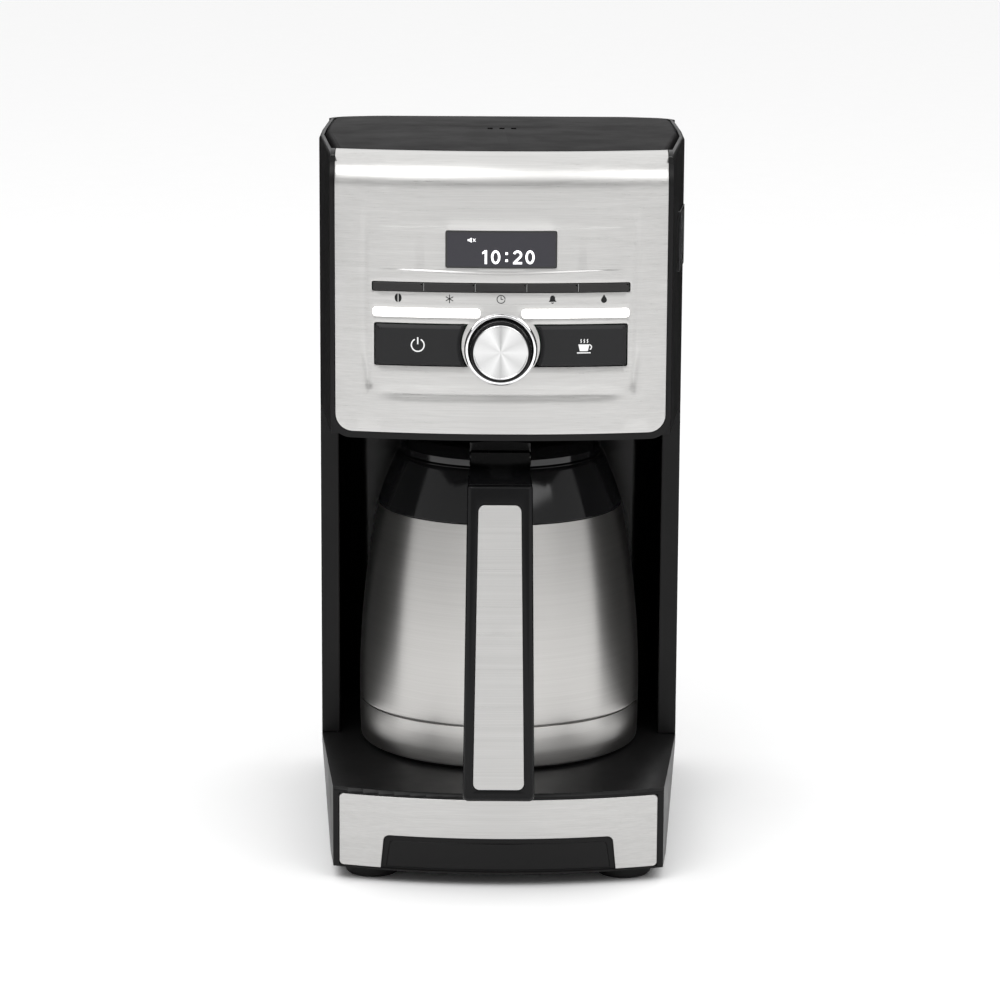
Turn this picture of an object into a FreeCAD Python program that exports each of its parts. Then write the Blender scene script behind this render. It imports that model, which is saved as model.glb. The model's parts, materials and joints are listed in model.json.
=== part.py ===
import FreeCAD, Part
import Sketcher
import math
import os

# A drip coffee maker with a steel thermal carafe that stands in a bay under the brewing head.
# Row frame: +Z up from the floor, +X to the right seen from the front, +Y towards the back.
# Every sub-part is modelled about the "station": the carafe's axis at the height of the deck.

DIMENSIONS = {
    # station
    "carafe_axis_y": (4.5, "carafe axis behind the middle of the whole object"),
    "deck_height": (46.5, "deck above the floor"),
    # body shell
    "half_width": (89.5, "outside of the side covers"),
    "wall": (2.5, "plastic wall"),
    "back_y": (125.0, "outside of the rear cover"),
    "side_end_y": (105.0, "seam between the side covers and the rear cover"),
    "corner_r": (20.0, "rear corner radius"),
    "cover_top": (303.0, "top edge of the side covers above the deck"),
    "rear_top": (299.0, "top edge of the rear cover at the very back"),
    "crown_y": (30.0, "where the top starts to fall towards the back"),
    # base
    "base_depth": (39.6, "deck to the underside of the base"),
    "base_front": (110.0, "front of the base in front of the carafe axis"),
    "base_lean": (7.5, "how far the sides of the base lean in towards its underside"),
    "base_corner_y": (97.5, "front corner of the base"),
    "base_corner_x": (79.6, "front corner of the base"),
    "deck_thick": (3.0, "deck plate"),
    "trim_half": (76.5, "steel base trim, half its width"),
    "trim_top": (2.5, "top of the trim below the deck"),
    "trim_bottom": (38.4, "bottom of the trim legs below the deck"),
    "trim_thick": (1.2, "trim sheet and its plastic backing"),
    "arch_top": (22.0, "top of the arch below the deck"),
    "arch_half": (55.2, "half the arch's width at its top"),
    "arch_foot": (57.0, "half the arch's width at its foot"),
    "foot_r": (13.5, "rubber foot radius"),
    "foot_x": (61.0, "feet from the middle"),
    "foot_front_y": (82.0, "front feet in front of the axis"),
    "foot_rear_y": (95.0, "rear feet behind the axis"),
    # bay
    "bay_half": (80.4, "half the clear width of the bay"),
    "bay_back": (73.0, "back wall of the bay"),
    "liner_thick": (2.0, "bay liner wall"),
    "head_bottom": (171.0, "underside of the head above the deck"),
    "floor_thick": (3.0, "floor of the head"),
    # face of the head
    "face_front": (100.0, "steel face in front of the axis"),
    "face_half": (77.9, "half the steel face's width"),
    "face_sag": (9.1, "how far the face curves back at its sides"),
    "face_bottom": (173.4, "lower edge of the steel face"),
    "face_top": (305.0, "top of the steel face"),
    "face_bend": (16.0, "bend at the top of the steel face"),
    "face_sheet": (1.0, "steel sheet"),
    "face_corner": (8.0, "lower corners of the steel face"),
    "bezel_half": (80.3, "half the bezel's width"),
    "bezel_thick": (4.0, "bezel depth"),
    "carrier_back": (3.7, "back of the panel carrier behind the steel face"),
    # controls on the face, heights above the deck
    "display_z": (260.9, "display centre"),
    "display_half": (26.1, "half the display's width"),
    "display_tall": (17.7, "display height"),
    "strip_z": (242.9, "function button row"),
    "strip_tall": (4.0, "function button height"),
    "strip_half": (60.2, "half the button row"),
    "bar_z": (230.8, "light bars"),
    "bar_tall": (4.4, "light bar height"),
    "bar_in": (9.6, "inner end of a light bar"),
    "bar_out": (60.2, "outer end of a light bar"),
    "pad_z": (215.6, "power and brew buttons, centre height"),
    "pad_tall": (19.7, "power and brew button height"),
    "pad_out": (59.2, "outer end of those buttons"),
    "pad_arc": (18.7, "their concave ends round the knob"),
    "pad_rise": (1.6, "buttons stand proud of the face"),
    "knob_z": (213.8, "knob axis height"),
    "knob_r": (14.4, "knob radius"),
    "knob_depth": (9.0, "knob length"),
    "ring_r": (17.2, "chrome ring radius"),
    "button_gap": (0.35, "gap round each button"),
    # lid
    "lid_gap": (0.8, "gap in front of the lid"),
    "lid_half": (86.6, "half the lid's width"),
    "lid_low": (291.0, "lower edge of the lid"),
    "lid_back": (108.0, "back edge of the lid"),
    "lid_corner": (28.0, "rear corner of the lid"),
    "hinge_y": (115.0, "hinge axis"),
    "hinge_z": (296.0, "hinge axis above the deck"),
    "hinge_pin_r": (2.0, "hinge pin radius"),
    "pin_clearance": (0.05, "running clearance of pins"),
    # brewing parts
    "basket_r": (60.5, "filter basket rim radius"),
    "basket_top": (262.0, "rim of the basket holder, which carries the filter basket"),
    "basket_low": (186.0, "filter basket floor above the deck"),
    "holder_r": (64.0, "basket holder radius"),
    "tank_left": (58.0, "left side of the tank"),
    "tank_right": (85.0, "right side of the tank"),
    "tank_top": (282.0, "rim of the tank"),
    "tank_front": (77.0, "front of the tank"),
    "tank_back": (121.5, "back of the tank"),
    "tank_wall": (2.0, "tank wall"),
    "tube_r": (3.5, "hose radius"),
    # carafe
    "carafe_r": (70.2, "largest radius"),
    "shell_thick": (1.0, "carafe steel"),
    "vacuum_gap": (5.0, "space between the carafe's walls"),
    "collar_z": (120.6, "joint between steel and collar"),
    "collar_r": (60.8, "radius at that joint"),
    "mouth_z": (147.2, "collar's rim height"),
    "mouth_r": (51.4, "collar's rim radius"),
    "handle_top": (143.5, "dished top of the handle arm"),
    "handle_front": (121.6, "top of the handle in front of the axis"),
    "handle_foot": (134.0, "foot of the handle in front of the axis"),
    "handle_half_top": (15.3, "half the handle's width at its top"),
    "handle_half_foot": (17.0, "half the handle's width at its foot"),
    "lip_top": (152.4, "lip in front of the pour lever"),
    "lever_top": (152.8, "top of the pour lever"),
    "lever_thick": (4.0, "pour lever"),
}


class Size:
    """A number that remembers the sheet formula it comes from."""

    def __init__(self, value, text):
        self.value = float(value)
        self.text = text

    def merge(self, sign, other, value):
        return Size(value, f"({self.text} {sign} {formula(other)})")

    def __add__(self, other):
        return self.merge("+", other, self.value + number(other))

    def __sub__(self, other):
        return self.merge("-", other, self.value - number(other))

    def __mul__(self, other):
        return self.merge("*", other, self.value * number(other))

    def __truediv__(self, other):
        return self.merge("/", other, self.value / number(other))

    def __neg__(self):
        return Size(-self.value, f"(0 - {self.text})")

    def __radd__(self, other):
        return self + other

    def __rmul__(self, other):
        return self * other

    def __rsub__(self, other):
        return -self + other

    def root(self):
        return Size(math.sqrt(self.value), f"sqrt({self.text})")


def number(size):
    return size.value if isinstance(size, Size) else float(size)


def formula(size):
    return size.text if isinstance(size, Size) else repr(float(size))


doc = FreeCAD.newDocument("CoffeeMaker")
sheet = doc.addObject("Spreadsheet::Sheet", "Sizes")
S = {}
for row, (alias, (value, meaning)) in enumerate(DIMENSIONS.items(), start=1):
    sheet.set(f"A{row}", meaning)
    sheet.set(f"B{row}", repr(value))
    sheet.setAlias(f"B{row}", alias)
    S[alias] = Size(value, f"Sizes.{alias}")
doc.recompute()

nodes = {}


# ---------------------------------------------------------------- sketches


def disc(x, y, r):
    return ("disc", x, y, r)


def loop(points):
    """A closed outline. A point (x, y) ends a line, and (x, y, r) ends an arc of radius r that
    turns left, or right when r is negative."""
    return ("loop", points)


def rect(x0, y0, x1, y1, r=None):
    if r is None:
        return loop([(x0, y0), (x1, y0), (x1, y1), (x0, y1)])
    return loop([
        (x0 + r, y0), (x1 - r, y0), (x1, y0 + r, r), (x1, y1 - r), (x1 - r, y1, r),
        (x0 + r, y1), (x0, y1 - r, r), (x0, y0 + r), (x0 + r, y0, r),
    ])


def pin_point(sketch, geo, pos, x, y):
    for kind, axis, size in (("DistanceX", -2, x), ("DistanceY", -1, y)):
        if number(size) == 0.0:
            sketch.addConstraint(Sketcher.Constraint("PointOnObject", geo, pos, axis))
            continue
        at = sketch.addConstraint(
            Sketcher.Constraint(kind, -1, 1, geo, pos, number(size)))
        if isinstance(size, Size):
            sketch.setExpression(f"Constraints[{at}]", size.text)


def radius(sketch, geo, size):
    at = sketch.addConstraint(Sketcher.Constraint("Radius", geo, number(size)))
    if isinstance(size, Size):
        sketch.setExpression(f"Constraints[{at}]", size.text)


def draw(sketch, shape):
    if shape[0] == "disc":
        _, x, y, r = shape
        centre = FreeCAD.Vector(number(x), number(y), 0)
        geo = sketch.addGeometry(Part.Circle(centre, FreeCAD.Vector(0, 0, 1), number(r)), False)
        pin_point(sketch, geo, 3, x, y)
        radius(sketch, geo, r)
        return
    points = shape[1]
    closes_with_arc = (
        len(points[-1]) == 3
        and abs(number(points[0][0]) - number(points[-1][0])) < 1e-9
        and abs(number(points[0][1]) - number(points[-1][1])) < 1e-9
    )
    stops = points[1:] if closes_with_arc else points[1:] + [points[0][:2]]
    first = last = None
    start = points[0]
    for stop in stops:
        a = FreeCAD.Vector(number(start[0]), number(start[1]), 0)
        b = FreeCAD.Vector(number(stop[0]), number(stop[1]), 0)
        bend = stop[2] if len(stop) == 3 else None
        if bend is None:
            geo = sketch.addGeometry(Part.LineSegment(a, b), False)
            begin, end = 1, 2
        else:
            r = abs(number(bend))
            chord = b - a
            middle = (a + b) * 0.5
            side = 1.0 if number(bend) > 0 else -1.0
            reach = math.sqrt(max(r * r - chord.Length ** 2 / 4, 0.0))
            normal = FreeCAD.Vector(-chord.y, chord.x, 0).normalize() * side
            centre = middle + normal * reach
            low, high = (a, b) if side > 0 else (b, a)
            circle = Part.Circle(centre, FreeCAD.Vector(0, 0, 1), r)
            angle_low = math.atan2(low.y - centre.y, low.x - centre.x)
            angle_high = math.atan2(high.y - centre.y, high.x - centre.x)
            geo = sketch.addGeometry(Part.ArcOfCircle(circle, angle_low, angle_high), False)
            begin, end = (1, 2) if side > 0 else (2, 1)
            radius(sketch, geo, bend if number(bend) > 0 else -bend)
        pin_point(sketch, geo, begin, start[0], start[1])
        if last is not None:
            sketch.addConstraint(Sketcher.Constraint("Coincident", last[0], last[1], geo, begin))
        else:
            first = (geo, begin)
        last = (geo, end)
        start = stop
    sketch.addConstraint(Sketcher.Constraint("Coincident", last[0], last[1], first[0], first[1]))


def sketch_on(body, role, shapes, offset):
    """A sketch on one of the body's own origin planes, moved along the plane's axis to offset."""
    plane = [item for item in body.Origin.OriginFeatures if item.Role == role][0]
    sketch = body.newObject("Sketcher::SketchObject", "Sketch")
    sketch.AttachmentSupport = [(plane, "")]
    sketch.MapMode = "FlatFace"
    away = -offset if role == "XZ_Plane" else offset
    sketch.setExpression("AttachmentOffset.Base.z", formula(away))
    for shape in shapes:
        draw(sketch, shape)
    return sketch


# ---------------------------------------------------------------- features


def new_body(name):
    return doc.addObject("PartDesign::Body", name)


def pad(body, role, shapes, low, high):
    """Add the shapes between two heights along the plane's axis."""
    start = high if role == "XZ_Plane" else low
    feature = body.newObject("PartDesign::Pad", "Pad")
    feature.Profile = sketch_on(body, role, shapes, start)
    feature.setExpression("Length", formula(high - low))
    return feature


def carve(body, role, shapes, low, high):
    """Cut the shapes away between two heights along the plane's axis."""
    doc.recompute()
    before = body.Shape.Volume
    start = low if role == "XZ_Plane" else high
    feature = body.newObject("PartDesign::Pocket", "Pocket")
    feature.Profile = sketch_on(body, role, shapes, start)
    feature.setExpression("Length", formula(high - low))
    doc.recompute()
    if body.Shape.Volume > before - 1e-3:
        raise RuntimeError(f"a pocket in {body.Label} cuts nothing")
    return feature


def turn(body, role, points, angle=360.0):
    """Revolve an outline about the sketch's vertical axis, evenly to both sides."""
    feature = body.newObject("PartDesign::Revolution", "Revolution")
    sketch = sketch_on(body, role, [loop(points)], 0.0)
    feature.Profile = sketch
    feature.ReferenceAxis = (sketch, ["V_Axis"])
    feature.Midplane = True
    feature.Angle = angle
    return feature


def round_edges(body, size, test):
    doc.recompute()
    base = body.Tip
    names = [f"Edge{at}" for at, edge in enumerate(base.Shape.Edges, 1) if test(edge)]
    if not names:
        raise RuntimeError(f"no edge to round on {body.Label}")
    feature = body.newObject("PartDesign::Fillet", "Fillet")
    feature.Base = (base, names)
    feature.setExpression("Radius", formula(size))
    return feature


def at_height(z, slack=0.01):
    """True for an edge that lies wholly at one height."""
    def test(edge):
        box = edge.BoundBox
        return abs(box.ZMin - number(z)) < slack and abs(box.ZMax - number(z)) < slack
    return test


def station(item, x=0.0, y=0.0, z=0.0):
    """Place a sub-part in the row frame, from its place at the carafe's axis and the deck."""
    item.setExpression("Placement.Base.x", formula(x))
    item.setExpression("Placement.Base.y", formula(S["carafe_axis_y"] + y))
    item.setExpression("Placement.Base.z", formula(S["deck_height"] + z))
    return item


def keep(name, item):
    item.Label = name
    nodes[name] = item
    return item


def node(name, x=0.0, y=0.0, z=0.0):
    return keep(name, station(new_body(name), x, y, z))


def cut(name, base, tool):
    item = doc.addObject("Part::Cut", name)
    item.Base = base
    item.Tool = tool
    return keep(name, item)


def mirror(name, source):
    """The same part on the other side of the X = 0 plane."""
    item = doc.addObject("Part::Mirroring", name)
    item.Source = source
    item.Normal = FreeCAD.Vector(1, 0, 0)
    return keep(name, item)


# ---------------------------------------------------------------- shared outlines

base_sag = S["base_front"] - S["base_corner_y"]
base_r = (S["base_corner_x"] * S["base_corner_x"] + base_sag * base_sag) / (base_sag * 2)
face_r = (S["face_half"] * S["face_half"] + S["face_sag"] * S["face_sag"]) / (S["face_sag"] * 2)
face_y = face_r - S["face_front"]
side_in = S["half_width"] - S["wall"]


def base_plan(inset, front_inset, lean=0):
    """Footprint of the body: a bowed front, tapered cheeks and round rear corners."""
    cx, cy = S["base_corner_x"] - inset, S["base_corner_y"] - front_inset
    hw, back, r = S["half_width"] - inset - lean, S["back_y"] - inset, S["corner_r"] - inset
    return loop([
        (-cx, -cy), (cx, -cy, base_r - front_inset), (hw, 0), (hw, back - r), (hw - r, back, r),
        (r - hw, back), (-hw, back - r, r), (-hw, 0),
    ])


def crown(body):
    """Let the top edge fall gently towards the back."""
    rise = S["cover_top"]
    carve(body, "YZ_Plane", [loop([
        (S["crown_y"], rise), (S["back_y"] + 1, S["rear_top"]), (S["back_y"] + 1, rise + 9),
        (S["crown_y"], rise + 9),
    ])], -S["half_width"] - 1, S["half_width"] + 1)


def at_turn(radius, step, count):
    """Place number `step` of `count` evenly round a circle."""
    angle = 2 * math.pi * step / count
    return radius * math.cos(angle), radius * math.sin(angle)


def on_arc(radius_, x, centre):
    """Where a bowed front of this radius stands at a distance x from the middle."""
    return centre - (radius_ * radius_ - x * x).root()


# ---------------------------------------------------------------- base

boss_spots = [(-72.0, -62.0), (72.0, -62.0), (-72.0, 72.0), (72.0, 72.0)]
rear_spots = [(-60.0, 40.0), (60.0, 40.0), (-60.0, 230.0), (60.0, 230.0)]
screw_r, screw_head_r, screw_head, screw_long = 1.5, 3.2, 1.2, 10.0
plate_thick, plate_gap = 2.5, 3.0
lean_top = 4.0

base = node("base_housing")
pad(base, "XY_Plane", [base_plan(0, 0)], -S["base_depth"], 0)
round_edges(base, 2.0, lambda edge: at_height(0)(edge) and edge.BoundBox.YMax < -90)
for side in (-1, 1):
    carve(base, "XZ_Plane", [loop([
        (side * S["half_width"], -lean_top), (side * (S["half_width"] + 5), -lean_top),
        (side * (S["half_width"] + 5), -S["base_depth"]),
        (side * (S["half_width"] - S["base_lean"]), -S["base_depth"]),
    ])], -S["base_front"] - 5, S["back_y"] + 5)
carve(base, "XY_Plane", [base_plan(S["wall"], 4, S["base_lean"])], -S["base_depth"], -S["deck_thick"])
carve(base, "XY_Plane", [base_plan(S["wall"], 4, S["base_lean"] / 2)],
      -S["base_depth"] / 2, -S["deck_thick"])
recess_r = base_r - S["trim_thick"] + 0.2
recess_x = S["trim_half"] + 0.3
recess_y = on_arc(recess_r, recess_x, base_r - S["base_front"])
front_clear = S["base_front"] + 15
carve(base, "XY_Plane", [loop([
    (-recess_x, recess_y), (recess_x, recess_y, recess_r), (recess_x, -front_clear),
    (-recess_x, -front_clear),
])], -S["trim_bottom"] - 0.3, -S["trim_top"])
pad(base, "XY_Plane", [disc(x, y, 4.0) for x, y in boss_spots],
    plate_thick - S["base_depth"], -S["deck_thick"])
carve(base, "XY_Plane", [disc(x, y, screw_r) for x, y in boss_spots],
      plate_thick - S["base_depth"], screw_long - S["base_depth"])
carve(base, "XZ_Plane", [disc(-40, -20, 6.5)], S["back_y"] - S["wall"] - 1, S["back_y"] + 1)
riser_x, riser_y, outlet_x, outlet_y = -74.0, 100.0, 50.0, 100.0
carve(base, "XY_Plane", [disc(riser_x, riser_y, 4.5), disc(outlet_x, outlet_y, 5.5)],
      -S["deck_thick"], 0)

plate = node("base_plate")
pad(plate, "XY_Plane", [base_plan(plate_gap, 4.5, S["base_lean"])],
    -S["base_depth"], plate_thick - S["base_depth"])
carve(plate, "XY_Plane", [disc(x, y, screw_r) for x, y in boss_spots],
      -S["base_depth"], plate_thick - S["base_depth"])

feet = node("feet")
foot_spots = [(x, y) for y in (-S["foot_front_y"], S["foot_rear_y"])
              for x in (-S["foot_x"], S["foot_x"])]
pad(feet, "XY_Plane", [disc(x, y, S["foot_r"]) for x, y in foot_spots],
    -S["deck_height"], -S["base_depth"])
round_edges(feet, 2.5, at_height(-S["deck_height"]))

trim = station(new_body("TrimSheet"), y=base_r - S["base_front"])
keep("front_trim", trim)
trim_out, trim_in = base_r + 0.2, base_r + 0.2 - S["trim_thick"]
turn(trim, "YZ_Plane", [(-trim_out, -45), (-trim_in, -45), (-trim_in, 10), (-trim_out, 10)], 42)
frame_far = [rect(-110, -60, 110, 20)]
trim_corner, arch_corner = 2.0, 3.0
th, tt, tb = S["trim_half"], -S["trim_top"] - 0.3, -S["trim_bottom"]
carve(trim, "XZ_Plane", frame_far + [rect(-th, tb, th, tt, trim_corner)], -base_r - 5, 40 - base_r)
carve(trim, "XZ_Plane", [loop([
    (-S["arch_foot"], tb - 5), (S["arch_foot"], tb - 5), (S["arch_half"], -S["arch_top"] - arch_corner),
    (S["arch_half"] - arch_corner, -S["arch_top"], arch_corner),
    (arch_corner - S["arch_half"], -S["arch_top"]),
    (-S["arch_half"], -S["arch_top"] - arch_corner, arch_corner),
])], -base_r - 5, 40 - base_r)

# ---------------------------------------------------------------- covers and bay

right = node("right_side_cover")
pad(right, "XY_Plane", [rect(side_in, 0, S["half_width"], S["side_end_y"])], 0, S["cover_top"])
pad(right, "XY_Plane", [rect(S["bay_half"], 0, side_in, S["wall"])], 0, S["head_bottom"])
crown(right)
round_edges(right, 1.8, lambda edge: edge.BoundBox.XMin > number(S["half_width"]) - 0.01
            and edge.BoundBox.ZMin > 290 and edge.Length > 20)
mirror("left_side_cover", right)

rear = node("rear_cover")
hw, back, cr, w = S["half_width"], S["back_y"], S["corner_r"], S["wall"]
pad(rear, "XY_Plane", [loop([
    (hw, back - cr), (hw - cr, back, cr), (cr - hw, back), (-hw, back - cr, cr),
    (w - hw, back - cr), (cr - hw, back - w, w - cr), (hw - cr, back - w), (hw - w, back - cr, w - cr),
])], 0, S["cover_top"])
ear_in, ear_out, ear_r = 64.0, 68.0, 4.5
for side in (-1, 1):
    low, high = sorted((side * ear_in, side * ear_out))
    pad(rear, "YZ_Plane", [disc(S["hinge_y"], S["hinge_z"], ear_r)], low, high)
    pad(rear, "YZ_Plane", [rect(S["hinge_y"], S["hinge_z"] - ear_r, back - w, S["hinge_z"] + 1)],
        low, high)
crown(rear)
carve(rear, "YZ_Plane", [disc(S["hinge_y"], S["hinge_z"], S["hinge_pin_r"])], -70, 70)
carve(rear, "XZ_Plane", [disc(x, z, screw_r) for x, z in rear_spots], back - w - 1, back + 1)

screws = node("case_screws")
pad(screws, "XY_Plane", [disc(x, y, screw_r) for x, y in boss_spots],
    -S["base_depth"], screw_long - S["base_depth"])
pad(screws, "XY_Plane", [disc(x, y, screw_head_r) for x, y in boss_spots],
    -S["base_depth"] - screw_head, -S["base_depth"])
pad(screws, "XZ_Plane", [disc(x, z, screw_r) for x, z in rear_spots], back - w, back)
pad(screws, "XZ_Plane", [disc(x, z, screw_head_r) for x, z in rear_spots], back, back + screw_head)

gland = node("cord_gland")
pad(gland, "XZ_Plane", [disc(-40, -20, 6.5)], back - 9, back)
pad(gland, "XZ_Plane", [disc(-40, -20, 8.5)], back, back + 1.2)
carve(gland, "XZ_Plane", [disc(-40, -20, 3.6)], back - 10, back + 2)

liner = node("bay_liner")
bx, by, lt = S["bay_half"], S["bay_back"], S["liner_thick"]
inner_r = 12.0
pad(liner, "XY_Plane", [loop([
    (bx, w), (bx + lt, w), (bx + lt, by - inner_r), (bx - inner_r, by + lt, lt + inner_r),
    (inner_r - bx, by + lt), (-bx - lt, by - inner_r, lt + inner_r), (-bx - lt, w), (-bx, w),
    (-bx, by - inner_r), (inner_r - bx, by, -inner_r), (bx - inner_r, by),
    (bx, by - inner_r, -inner_r),
])], 0, S["head_bottom"])

# ---------------------------------------------------------------- head

behind_r = face_r - S["bezel_thick"]
cheek_x = 80.4
cheek_y = on_arc(behind_r, cheek_x, face_y)
head = station(new_body("HeadShell"))
floor_top = S["head_bottom"] + S["floor_thick"]
outlet_r = 11.5
pad(head, "XY_Plane", [loop([
    (-cheek_x, cheek_y), (cheek_x, cheek_y, behind_r), (hw, 0), (side_in, 0), (side_in, by + lt),
    (-side_in, by + lt), (-side_in, 0), (-hw, 0),
]), disc(0, 0, outlet_r)], S["head_bottom"], floor_top)
for side in (-1, 1):
    pad(head, "XY_Plane", [loop([
        (side * cheek_x, cheek_y), (hw * side, 0), (side_in * side, 0), (side * (cheek_x - 2.5), cheek_y),
    ])], floor_top, S["cover_top"])
round_edges(head, 1.8, lambda edge: edge.BoundBox.ZMin > number(S["cover_top"]) - 0.01
            and edge.Length > 50 and abs(edge.CenterOfMass.x) > 83.9)


def face_profile(outer, inner, low):
    """Section through the face: upright, then bent back over the top."""
    bend_z, bend, top = S["face_top"] - S["face_bend"], S["face_bend"], S["face_top"]
    return [
        (-outer, low), (-outer, bend_z), (bend - face_r, top, outer - face_r - bend),
        (bend - face_r, top - outer + inner), (-inner, bend_z, bend - face_r + inner), (-inner, low),
    ]


def face_outline(half, low, corner):
    return loop([
        (-half, 330), (-half, corner + low), (corner - half, low, corner), (half - corner, low),
        (half, corner + low, corner), (half, 330),
    ])


face_cut = (-face_r - 5, 40 - face_r)
outside = [rect(-110, 140, 110, 340)]

bezel = keep("head_bezel", station(new_body("Bezel"), y=face_y))
turn(bezel, "YZ_Plane", face_profile(face_r, behind_r, 165), 32)
carve(bezel, "XZ_Plane", outside + [face_outline(S["bezel_half"], S["head_bottom"] - 0.8, 9.5)], *face_cut)
carve(bezel, "XZ_Plane",
      [face_outline(S["face_half"] + 0.35, S["face_bottom"] - 0.35, S["face_corner"] + 0.35)], *face_cut)
cheek_angle = math.degrees(math.atan2(number(hw) - cheek_x, -number(cheek_y)))
level_y, level_half, level_low, level_high = -30.0, 15.0, 243.0, 272.0
level_x = hw + (hw - cheek_x) / -cheek_y * level_y


def on_cheek(item):
    """Turn a piece so that it lies on the head's right cheek."""
    item.Placement.Rotation = FreeCAD.Rotation(FreeCAD.Vector(0, 0, 1), -cheek_angle)
    return station(item, level_x, level_y)


plug = on_cheek(new_body("LevelOpening"))
pad(plug, "YZ_Plane", [rect(-level_half, level_low, level_half, level_high)], -6, 4)
opened = doc.addObject("Part::Cut", "HeadOpened")
opened.Base = head
opened.Tool = bezel
cut("head_housing", opened, plug)
level_frame = on_cheek(keep("level_frame", new_body("LevelFrame")))
pad(level_frame, "YZ_Plane", [rect(-level_half, level_low, level_half, level_high)], -w, 1.3)
pane = rect(2 - level_half, level_low + 2, level_half - 2, level_high - 2)
carve(level_frame, "YZ_Plane", [pane], -w, 1.3)
level_window = on_cheek(keep("level_window", new_body("LevelWindow")))
pad(level_window, "YZ_Plane", [pane], -1.6, 0.6)

panel = keep("face_panel", station(new_body("Face"), y=face_y))
turn(panel, "YZ_Plane", face_profile(face_r, face_r - S["face_sheet"], 165), 32)
carve(panel, "XZ_Plane", outside + [face_outline(S["face_half"], S["face_bottom"], S["face_corner"])],
      *face_cut)


def display_window(gap):
    half, tall, z = S["display_half"] + gap, S["display_tall"] / 2 + gap, S["display_z"]
    return rect(-half, z - tall, half, z + tall, 1.0)


def strip_window(gap):
    half, tall, z = S["strip_half"] + gap, S["strip_tall"] / 2 + gap, S["strip_z"]
    return rect(-half, z - tall, half, z + tall, 0.8)


def bar_window(side, gap):
    tall, z = S["bar_tall"] / 2 + gap, S["bar_z"]
    if side > 0:
        return rect(S["bar_in"] - gap, z - tall, S["bar_out"] + gap, z + tall, 1.6)
    return rect(-S["bar_out"] - gap, z - tall, gap - S["bar_in"], z + tall, 1.6)


def pad_window(side, gap):
    """Power and brew buttons: a long plate whose inner end is hollowed round the knob."""
    tall, z = S["pad_tall"] / 2 + gap, S["pad_z"]
    arc = S["pad_arc"] - gap
    inner = (arc * arc - tall * tall).root()
    outer = S["pad_out"] + gap
    bend = -arc if side < 0 else arc
    return loop([
        (outer * side, z - tall), (inner * side, z - tall), (inner * side, z + tall, bend),
        (outer * side, z + tall),
    ])


gap = S["button_gap"]
openings = [display_window(0), strip_window(gap), bar_window(-1, 0), bar_window(1, 0),
            pad_window(-1, gap), pad_window(1, gap), disc(0, S["knob_z"], 15.4)]
carve(panel, "XZ_Plane", openings, *face_cut)

carrier = keep("panel_carrier", station(new_body("Carrier"), y=face_y))
carrier_in = face_r - S["carrier_back"]
carrier_out = face_r - S["face_sheet"]
turn(carrier, "YZ_Plane", [
    (-carrier_out, 165), (-carrier_in, 165), (-carrier_in, 285), (-carrier_out, 285)], 32)
carve(carrier, "XZ_Plane", outside + [rect(-S["face_half"], 176, S["face_half"], 284, 6)], *face_cut)
carve(carrier, "XZ_Plane", openings[:6] + [disc(0, S["knob_z"], 4.0)], *face_cut)


def face_piece(name, shapes, outer, inner):
    """A piece that follows the bowed face between two radii, trimmed to its outline."""
    item = keep(name, station(new_body(name.title().replace("_", "")), y=face_y))
    turn(item, "YZ_Plane", [(-outer, 190), (-inner, 190), (-inner, 280), (-outer, 280)], 32)
    carve(item, "XZ_Plane", [rect(-110, 140, 110, 340)] + shapes, *face_cut)
    return item


window = face_piece("display_window", [display_window(-0.2)], face_r - 0.4, face_r - 1.8)

display = node("display_module", y=-92.5)
pad(display, "XZ_Plane", [rect(-30, S["display_z"] - 11, 30, S["display_z"] + 11)], 0, 3.2)

bars = face_piece("light_bars", [bar_window(-1, -0.15), bar_window(1, -0.15)],
                  face_r - 0.2, carrier_in)

control = node("control_board", y=-85.0)
pad(control, "XZ_Plane", [rect(-66, 195, 66, 275, 3)], 0, 1.6)

# Seven tact switches and the encoder stand on the control board, behind their buttons.
pad_middle = (S["pad_out"] + 17) / 2
strip_pitch = S["strip_half"] * 2 / 5
strip_places = [strip_pitch * (at - 2) for at in range(5)]
switch_places = [(x, S["strip_z"]) for x in strip_places]
switch_places += [(side * pad_middle, S["pad_z"]) for side in (-1, 1)]
press = 1.0


def face_depth(x):
    """How far the face stands in front of the axis at a distance x from the middle."""
    return (face_r * face_r - x * x).root() - face_y


switches = node("tact_switches")
board_front = 85.0
for x, z in switch_places:
    pad(switches, "XZ_Plane", [rect(x - 3, z - 3, x + 3, z + 3)], -board_front - 3.4, -board_front)

encoder = node("encoder")
pad(encoder, "XZ_Plane", [rect(-6, S["knob_z"] - 6, 6, S["knob_z"] + 6)], -board_front - 6.5, -board_front)
pad(encoder, "XZ_Plane", [disc(0, S["knob_z"], 3.0)], -board_front - 19, -board_front - 6.5)

ring = node("knob_ring", y=-S["face_front"], z=S["knob_z"])
pad(ring, "XZ_Plane", [disc(0, 0, 15.3)], 0.0, 1.0)
pad(ring, "XZ_Plane", [disc(0, 0, S["ring_r"])], -1.4, 0.0)
carve(ring, "XZ_Plane", [disc(0, 0, 14.9)], -1.4, 1.0)

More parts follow.
